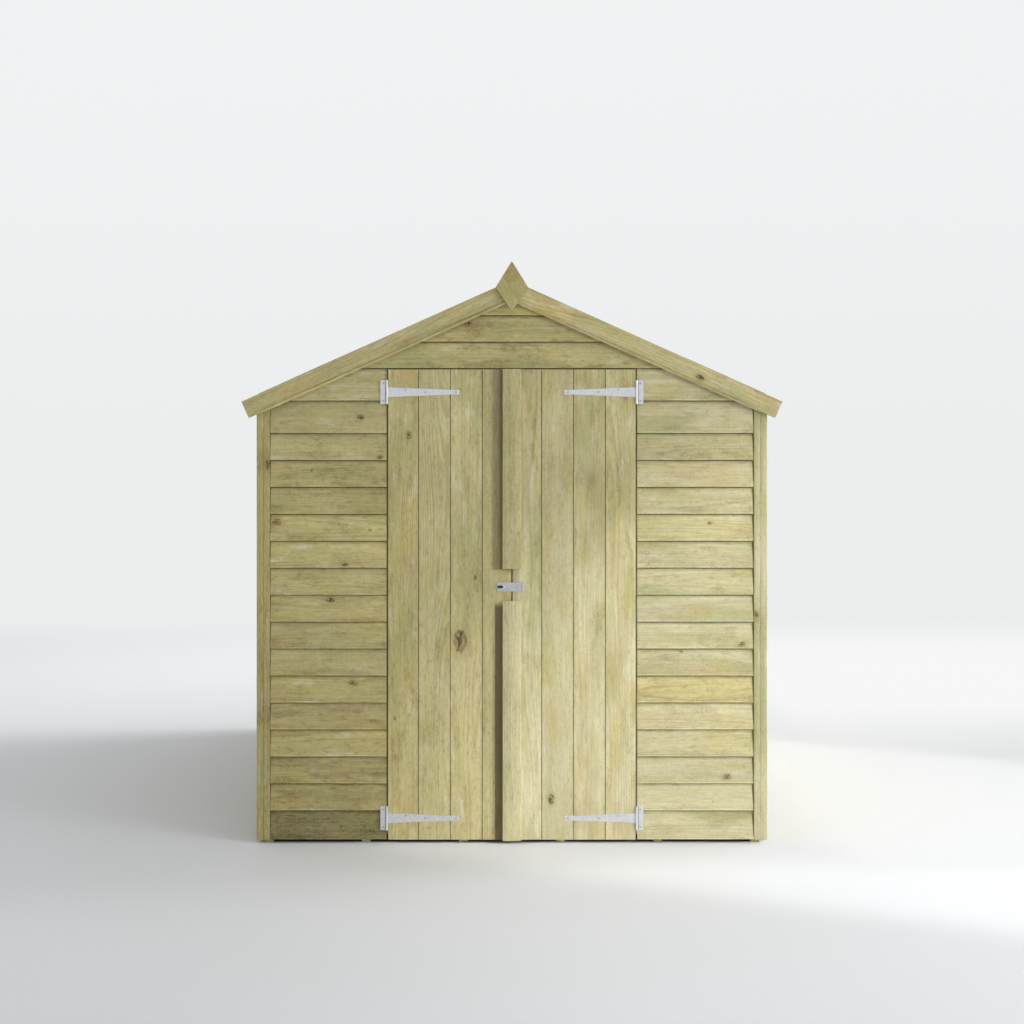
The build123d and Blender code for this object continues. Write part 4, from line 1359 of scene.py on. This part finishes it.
def door_board(leaf, number, sign):
    """One board of a leaf, between two joints. sign is 1 on the right leaf and -1 on the left."""
    near = LEAF_JOINTS[number - 1] + (JOINT_GAP if number > 1 else -MEETING_REACH)
    far = LEAF_JOINTS[number] - (JOINT_GAP if number < 4 else 0)
    width = far - near
    name = f"{leaf}_board_{number}"
    ends = GROUND_GAP - SAW_SPARE, DOOR_TOP + SAW_SPARE
    board = timber(name, *ends, DOOR_THICKNESS, width, CHAMFER, 1, DOOR_STRETCH)
    with editing(board):
        for cut in (-TONGUE_HALF, TONGUE_HALF):
            bpy.ops.mesh.select_all(action="SELECT")
            bpy.ops.mesh.bisect(plane_co=(0, cut, 0), plane_no=(0, 1, 0))
    if number < 4:
        joint_edge(board, -sign, TONGUE)
    if number > 1:
        joint_edge(board, sign, -TONGUE - GROOVE_SPARE)
    sawn_off(board, (GROUND_GAP, 0, 0), (-1, 0, 0))
    sawn_off(board, (DOOR_TOP, 0, 0), (1, 0, 0))
    lay_grain(board, width, DOOR_TONE_AND_LIGHT[leaf], DOOR_KNOTS.get(name, ()), 0.25)
    stood_up(board)
    moved(board, (sign * (near + far) / 2, -GABLE_FACE - DOOR_MIDDLE, 0))
    return fitted(board, leaf, door_wood, replaces=(leaf + "_boards",))


for leaf, sign in LEAVES:
    for number in (1, 2, 3, 4):
        door_board(leaf, number, sign)
print("door boards: 8")

# %% [markdown]
# Ledges run level across the back of the boards, and each brace leans from the hinge side up to
# the free side, so that it props the leaf. A brace is cut level at both ends, to stand between
# two ledges. It is made longer than that, tilted and sawn, because the two cuts then fit whatever
# the tilt.

# %% Ledges and braces
LEDGE_HEIGHT = 0.095
LEDGE_THICKNESS = 0.018
LEDGE_ARRIS = 0.002
LEDGE_STRETCH = 0.13
LEDGE_BOW = (0.0012, 0.3)
LEDGE_LOW, LEDGE_HIGH = 0.030, 0.418
LEDGE_CENTRES = (0.120, 0.86995, 1.6199)
LEDGE_OUT = -0.004
BRACE_WIDTH = 0.060
BRACE_GAP = 0.0004
BRACE_SPARE = 0.05

for leaf, sign in LEAVES:
    ends = sorted((sign * LEDGE_LOW, sign * LEDGE_HIGH))
    for number, centre in enumerate(LEDGE_CENTRES):
        name = f"{leaf}_ledge_{number + 1}"
        section = LEDGE_THICKNESS, LEDGE_HEIGHT, LEDGE_ARRIS
        ledge = timber(name, *ends, *section, 2, LEDGE_STRETCH)
        wavy(ledge, "Z", *LEDGE_BOW)
        lay_grain(ledge, LEDGE_HEIGHT)
        moved(ledge, (0, -GABLE_FACE - LEDGE_OUT, centre))
        fitted(ledge, leaf, planed_wood, replaces=(leaf + "_ledges",))
    for number, (lower, upper) in enumerate(zip(LEDGE_CENTRES, LEDGE_CENTRES[1:])):
        foot = lower + LEDGE_HEIGHT / 2 + BRACE_GAP
        head = upper - LEDGE_HEIGHT / 2 - BRACE_GAP
        lean_run = LEDGE_HIGH - LEDGE_LOW - BRACE_WIDTH
        steep = math.atan2(head - foot, lean_run)
        half_length = math.hypot(head - foot, lean_run) / 2 + BRACE_SPARE
        name = f"{leaf}_brace_{number + 1}"
        width = BRACE_WIDTH * math.sin(steep)
        section = LEDGE_THICKNESS, width, LEDGE_ARRIS
        brace = timber(name, -half_length, half_length, *section, 2, LEDGE_STRETCH)
        lay_grain(brace, width)
        moved(brace, turn=sign * math.degrees(steep), axis="Y")
        middle = sign * (LEDGE_LOW + LEDGE_HIGH) / 2
        moved(brace, (middle, -GABLE_FACE - LEDGE_OUT, (foot + head) / 2))
        sawn_off(brace, (0, 0, foot), (0, 0, -1))
        sawn_off(brace, (0, 0, head), (0, 0, 1))
        fitted(brace, leaf, planed_wood, replaces=(leaf + "_ledges",))
print("ledges: 6, braces: 4")

# %% [markdown]
# A cover strip above the hasp and one below it hide the gap between the leaves. They are nailed
# to the right leaf and stand a few millimetres clear of the left one, so that the leaves can pass
# each other. So the strip is split along its back, and the half on the right leaf is pushed back
# to the boards.

# %% Cover strips
COVER_MIDDLE = 0.0295
COVER_DEPTH = 0.015
COVER_WIDTH = 0.066
COVER_ARRIS = 0.0014
COVER_SPANS = {"lower": (GROUND_GAP, 0.8717), "upper": (0.9860, DOOR_TOP)}
# The cover strips are pale, and the lower one is paler than the upper as painted light.
COVER_TONE_AND_LIGHT = {"lower": 0.50, "upper": 0.34}
STEP_PLACE = -0.003
STEP_DEPTH = 0.0049
section = COVER_DEPTH, COVER_WIDTH, COVER_ARRIS

for place_name, ends in COVER_SPANS.items():
    strip = timber(place_name + "_cover_strip", *ends, *section, 2, STRIP_STRETCH)
    with editing(strip):
        bpy.ops.mesh.select_all(action="SELECT")
        bpy.ops.mesh.bisect(plane_co=(0, 0, STEP_PLACE), plane_no=(0, 0, 1))
    with editing(strip):
        pick(strip, "faces", lambda f: f.normal.y > 0.9 and f.calc_center_median().z < STEP_PLACE)
        push_out((0, STEP_DEPTH, 0))
    lay_grain(strip, COVER_WIDTH, COVER_TONE_AND_LIGHT[place_name], ((0, 0.02, 0), (0, 0.02, 0)))
    stood_up(strip)
    moved(strip, (0, -GABLE_FACE - COVER_MIDDLE, 0))
    fitted(strip, "right_door", planed_wood, replaces=("door_cover_strips",))
print("cover strips: 2")

# %% [markdown]
# ## Roofing felt
# Felt is a thick sheet faced with mineral grains. Each slope has one sheet that turns down over
# the eaves, and a third sheet straddles the ridge. Each starts as a grid, so that it can ripple a
# little where it lies on the boards, and Solidify gives it its thickness.

# %% Felt
FELT_GREEN = (0.060, 0.085, 0.066)
FELT_GREY = (0.120, 0.125, 0.120)
FELT_DARK = (0.020, 0.024, 0.021)
FELT_THICKNESS = 0.002
FELT_RIPPLE = (0.0014, 0.16)
FELT_HALF_RUN = 1.219
FELT_LIFT = 0.0003
DECK_HALF = 0.908
DECK_THICKNESS = 0.010
DECK_RISE = DECK_THICKNESS / math.cos(ROOF_ANGLE)
TURN_DOWN = 0.026
CAP_REACH = 0.110
CAP_SETBACK = 0.028
CAP_FLAT = 0.006
CAP_SINK = 0.0015
CAP_LIFT = 0.0016
SLOPES = (("right", 1), ("left", -1))

g = Graph(bpy.data.materials.new("mineral_felt"))
place = g.place()
grain_a, grain_b, grain_c = g.cells(place * 420.0, "Color").parts()
bald = g.noise(place * 9.0, 4.0)
stain = g.noise(place * 2.2, 3.0)
colour = g.mixed(grain_a.rise(0.35, 0.95), FELT_GREEN, FELT_GREY)
colour = g.mixed(grain_b.rise(0.62, 0.90) * 0.7 + bald.rise(0.60, 0.75) * 0.5, colour, FELT_DARK)
sockets = {
    "Base Color": g.shaded(colour, stain * 0.7 + 0.65),
    "Roughness": 0.88 + grain_c * 0.10,
    "Normal": g.bump(g.cells(place * 420.0) * -1.0 + bald, 0.0009),
}
felt = g.finish(sockets)


def grid(name, columns, x, width, run):
    """A flat net of faces with its middle at x, ready to be bent."""
    deselect_all()
    bpy.ops.mesh.primitive_grid_add(
        x_subdivisions=columns, y_subdivisions=48, size=1, location=(x, 0, 0)
    )
    return named_start(name, (width, run, 1))


def made_sheet(piece):
    """Gives a felt sheet its ripples and its thickness."""
    wavy(piece, "NORMAL", *FELT_RIPPLE, middle=0.45)
    bpy.ops.object.modifier_add(type="SOLIDIFY")
    solid = piece.modifiers[-1]
    solid.thickness = FELT_THICKNESS
    solid.offset = 1.0
    solid.use_even_offset = True
    bpy.ops.object.modifier_apply(modifier=solid.name)
    return piece


slope_length = DECK_HALF / math.cos(ROOF_ANGLE)
for side, sign in SLOPES:
    middle = sign * slope_length / 2
    sheet = grid(f"{side}_felt_sheet", 14, middle, slope_length, 2 * FELT_HALF_RUN)
    moved(sheet, (0, 0, RIDGE_HEIGHT + DECK_RISE + FELT_LIFT), sign * slope_degrees, "Y")
    with editing(sheet, "EDGE"):
        pick(sheet, "edges", lambda e: all(abs(v.co.x) > DECK_HALF - 0.001 for v in e.verts))
        push_out((0, 0, -TURN_DOWN / 2))
        push_out((0, 0, -TURN_DOWN / 2))
    made_sheet(sheet)
    fitted(sheet, "shed", felt, replaces=("roof_felt_" + side,))

cap_run = 2 * (FELT_HALF_RUN - CAP_SETBACK)
ridge_sheet = grid("ridge_felt_sheet", 8, 0, 2 * CAP_REACH, cap_run)
for column in sorted({round(v.co.x, 4) for v in ridge_sheet.data.vertices}):
    drop = max(abs(column) - CAP_FLAT, 0) * ROOF_RISE + CAP_SINK
    with editing(ridge_sheet, "VERT"):
        pick(ridge_sheet, "verts", lambda v: abs(v.co.x - column) < 0.001)
        bpy.ops.transform.translate(value=(0, 0, -drop))
cap_height = RIDGE_HEIGHT + (DECK_THICKNESS + FELT_THICKNESS) / math.cos(ROOF_ANGLE) + CAP_LIFT
moved(ridge_sheet, (0, 0, cap_height))
made_sheet(ridge_sheet)
fitted(ridge_sheet, "shed", felt, replaces=("roof_ridge_felt",))
print("felt sheets: 3")

# %% [markdown]
# ## Nails and screws
# One nail and one screw are modelled, and each copy gets its own place. Those of one wall or one
# leaf are then joined into one piece, because hundreds of tiny pieces would be slow to handle.

# %% Steel of nails and screws
NAIL_GREY = (0.300, 0.290, 0.265)
NAIL_RUST = (0.180, 0.105, 0.055)
SCREW_GREY = (0.520, 0.525, 0.530)

g = Graph(bpy.data.materials.new("nail_steel"))
rust = g.noise(g.place() * 60.0, 3.0).rise(0.45, 0.70)
sockets = {
    "Base Color": g.mixed(rust, NAIL_GREY, NAIL_RUST),
    "Metallic": 0.85 - rust * 0.6,
    "Roughness": 0.45 + rust * 0.3,
}
nail_steel = g.finish(sockets)

g = Graph(bpy.data.materials.new("screw_steel"))
dull = g.noise(g.place() * 300.0, 3.0)
sockets = {
    "Base Color": g.shaded(SCREW_GREY, dull * 0.8 + 0.5),
    "Metallic": 0.9 - dull * 0.3,
    "Roughness": 0.32 + dull * 0.3,
}
screw_steel = g.finish(sockets)
print("steel:", nail_steel.name, screw_steel.name)

# %% Heads
HEADS = {
    "board_nail": {"radius": 0.0017, "height": 0.0012, "sides": 8, "dome": 0.0003},
    "door_nail": {"radius": 0.0016, "height": 0.0010, "sides": 8, "dome": 0.0003},
    "clout": {"radius": 0.0048, "height": 0.0010, "sides": 12, "dome": 0.0004},
    "screw": {"radius": 0.0036, "height": 0.0012, "sides": 20, "dome": 0.0002},
}


def headed(name, radius, height, sides, dome):
    """A low domed head that looks towards -Y, with its middle at the origin."""
    deselect_all()
    bpy.ops.mesh.primitive_cylinder_add(vertices=sides, radius=radius, depth=height)
    head = named_start(name)
    with editing(head):
        pick(head, "faces", lambda f: f.normal.z > 0.9)
        bpy.ops.mesh.inset(thickness=radius * 0.35, depth=dome)
    return moved(head, turn=90, axis="X")


def spread(name, model, places, body, material):
    """Copies of a head, one at each matrix of places, joined into one piece."""
    deselect_all()
    for number, matrix in enumerate(places):
        twin = copied(model, f"{name}_{number}")
        twin.matrix_world = matrix
        twin.select_set(True)
        bpy.context.view_layer.objects.active = twin
    bpy.ops.object.join()
    piece = bpy.context.object
    piece.name = piece.data.name = name
    bpy.ops.object.transform_apply(location=True, rotation=True, scale=False)
    return fitted(piece, body, material)


def swung(facing, x, out, z, lean=0.0):
    """The place of a head on a wall, out from the middle of the shed."""
    turn = Matrix.Rotation(math.radians(FACING[facing]), 4, "Z")
    tilt = Matrix.Rotation(math.radians(-lean), 4, "X")
    return turn @ Matrix.Translation((x, -out, z)) @ tilt


models = {name: headed(name, **sizes) for name, sizes in HEADS.items()}
print("heads:", ", ".join(models))

# %% Nails in the wall boards
for facing in FACING:
    places = [swung(*spot) for spot in nail_places if spot[0] == facing]
    spread(facing + "_wall_nails", models["board_nail"], places, "shed", nail_steel)
print("nails in the walls:", len(nail_places))

# %% [markdown]
# Clout nails with wide flat heads hold the felt: a row along each eaves, through the turned-down
# edge, and a row along each side of the ridge strip. Each is a little out of line, as a hammer
# leaves them.

# %% Clout nails
CLOUT_COUNT = 25
CLOUT_REACH = 1.19
CLOUT_OUT = 0.0028
CLOUT_DROP = 0.017
CAP_CLOUT_X = 0.094
CAP_CLOUT_RISE = 0.0020

face_up = Matrix.Rotation(math.radians(-90), 4, "X")
lip_height = RIDGE_HEIGHT - ROOF_RISE * DECK_HALF + DECK_RISE - CLOUT_DROP
cap_top = cap_height + CAP_CLOUT_RISE - ROOF_RISE * CAP_CLOUT_X
roof_places = []
for number in range(CLOUT_COUNT):
    y = CLOUT_REACH * (2 * number / (CLOUT_COUNT - 1) - 1)
    for side, sign in SLOPES:
        shift = random.Random(f"clout {number} {side}").uniform(-0.006, 0.006)
        spot = sign * (y + shift), DECK_HALF + CLOUT_OUT, lip_height + shift / 3
        roof_places.append(swung(side, *spot))
        slope = Matrix.Rotation(sign * ROOF_ANGLE, 4, "Y")
        spot = Matrix.Translation((sign * CAP_CLOUT_X, y - shift, cap_top))
        roof_places.append(spot @ slope @ face_up)
spread("felt_nails", models["clout"], roof_places, "shed", zinc)
print("clout nails:", len(roof_places))

# %% Nails in the doors
DOOR_FACE = GABLE_FACE + DOOR_MIDDLE + DOOR_THICKNESS / 2
DOOR_NAILS = ((0.28, 0.022), (0.72, -0.022))
COVERED_HALF = 0.036

for leaf, sign in LEAVES:
    places = []
    chance = random.Random(leaf + " nails")
    for near, far in zip(LEAF_JOINTS, LEAF_JOINTS[1:]):
        for centre in LEDGE_CENTRES:
            for share, rise in DOOR_NAILS:
                x = sign * (near + (far - near) * share) + chance.uniform(-0.004, 0.004)
                z = centre + rise + chance.uniform(-0.004, 0.004)
                if abs(x) > COVERED_HALF:
                    places.append(swung("front", x, DOOR_FACE + CLEARANCE, z))
    spread(leaf + "_nails", models["door_nail"], places, leaf, nail_steel)
    print("nails in the", leaf, len(places))

# %% [markdown]
# The screws have a cross slot. It could be drawn as a dark cross, but a real one catches light on
# its edges, so two crossed bars are taken out of the head by a Boolean.

# %% Screws
HINGE_CENTRES = (0.0915, 1.6198)
STRAP_SCREWS = ((0.2010, 0.0), (0.3110, 0.0), (0.3810, 0.009))
STRAP_SCREW_OUT = 0.0195
PLATE_SCREWS = (-0.0315, 0.0315)
PLATE_SCREW_X = 0.461
PLATE_SCREW_OUT = 0.0185
HASP_SCREWS = (-0.0095, 0.0095)
HASP_SCREW_X = 0.018
SLOT_MIDDLE = (0, -0.0007, 0)
SLOT_SIZE = (0.0046, 0.0010, 0.0009)

deselect_all()
bpy.ops.mesh.primitive_cube_add(size=1, location=SLOT_MIDDLE)
slot_cutter = named_start("slot_cutter", SLOT_SIZE)
with editing(slot_cutter):
    bpy.ops.mesh.select_all(action="SELECT")
    bpy.ops.mesh.duplicate()
    bpy.ops.transform.rotate(value=math.pi / 2, orient_axis="Y", center_override=SLOT_MIDDLE)
screw = models["screw"]
choose(screw)
bpy.ops.object.modifier_add(type="BOOLEAN")
screw.modifiers[-1].object = slot_cutter
screw.modifiers[-1].use_self = True
bpy.ops.object.modifier_apply(modifier=screw.modifiers[-1].name)



def screwed(x, out, z, turn=0.0):
    """The place of a screw on the front, with its slot turned as the driver left it."""
    return swung("front", x, GABLE_FACE + out, z) @ Matrix.Rotation(turn, 4, "Y")


plate_places = []
for leaf, sign in LEAVES:
    places = []
    for centre in HINGE_CENTRES:
        for number, (x, rise) in enumerate(STRAP_SCREWS):
            turn = number * 0.7 + centre
            places.append(screwed(sign * x, STRAP_SCREW_OUT, centre + rise, turn))
        for rise in PLATE_SCREWS:
            turn = rise * 40 + sign
            spot = sign * PLATE_SCREW_X, PLATE_SCREW_OUT, centre + rise
            plate_places.append(screwed(*spot, turn))
    if leaf == "right_door":
        for rise in HASP_SCREWS:
            places.append(screwed(HASP_SCREW_X, PLATE_SCREW_OUT, HASP_HEIGHT + rise))
    spread(leaf + "_screws", screw, places, leaf, screw_steel)
    print("screws in the", leaf, len(places))
spread("plate_screws", screw, plate_places, "shed", screw_steel)
print("screws in the hinge plates:", len(plate_places))

# %% [markdown]
# ## Finish
# The models that copies were taken from are removed.

# %% Finish
for model in (stock, slot_cutter, *models.values()):
    bpy.data.objects.remove(model, do_unlink=True)
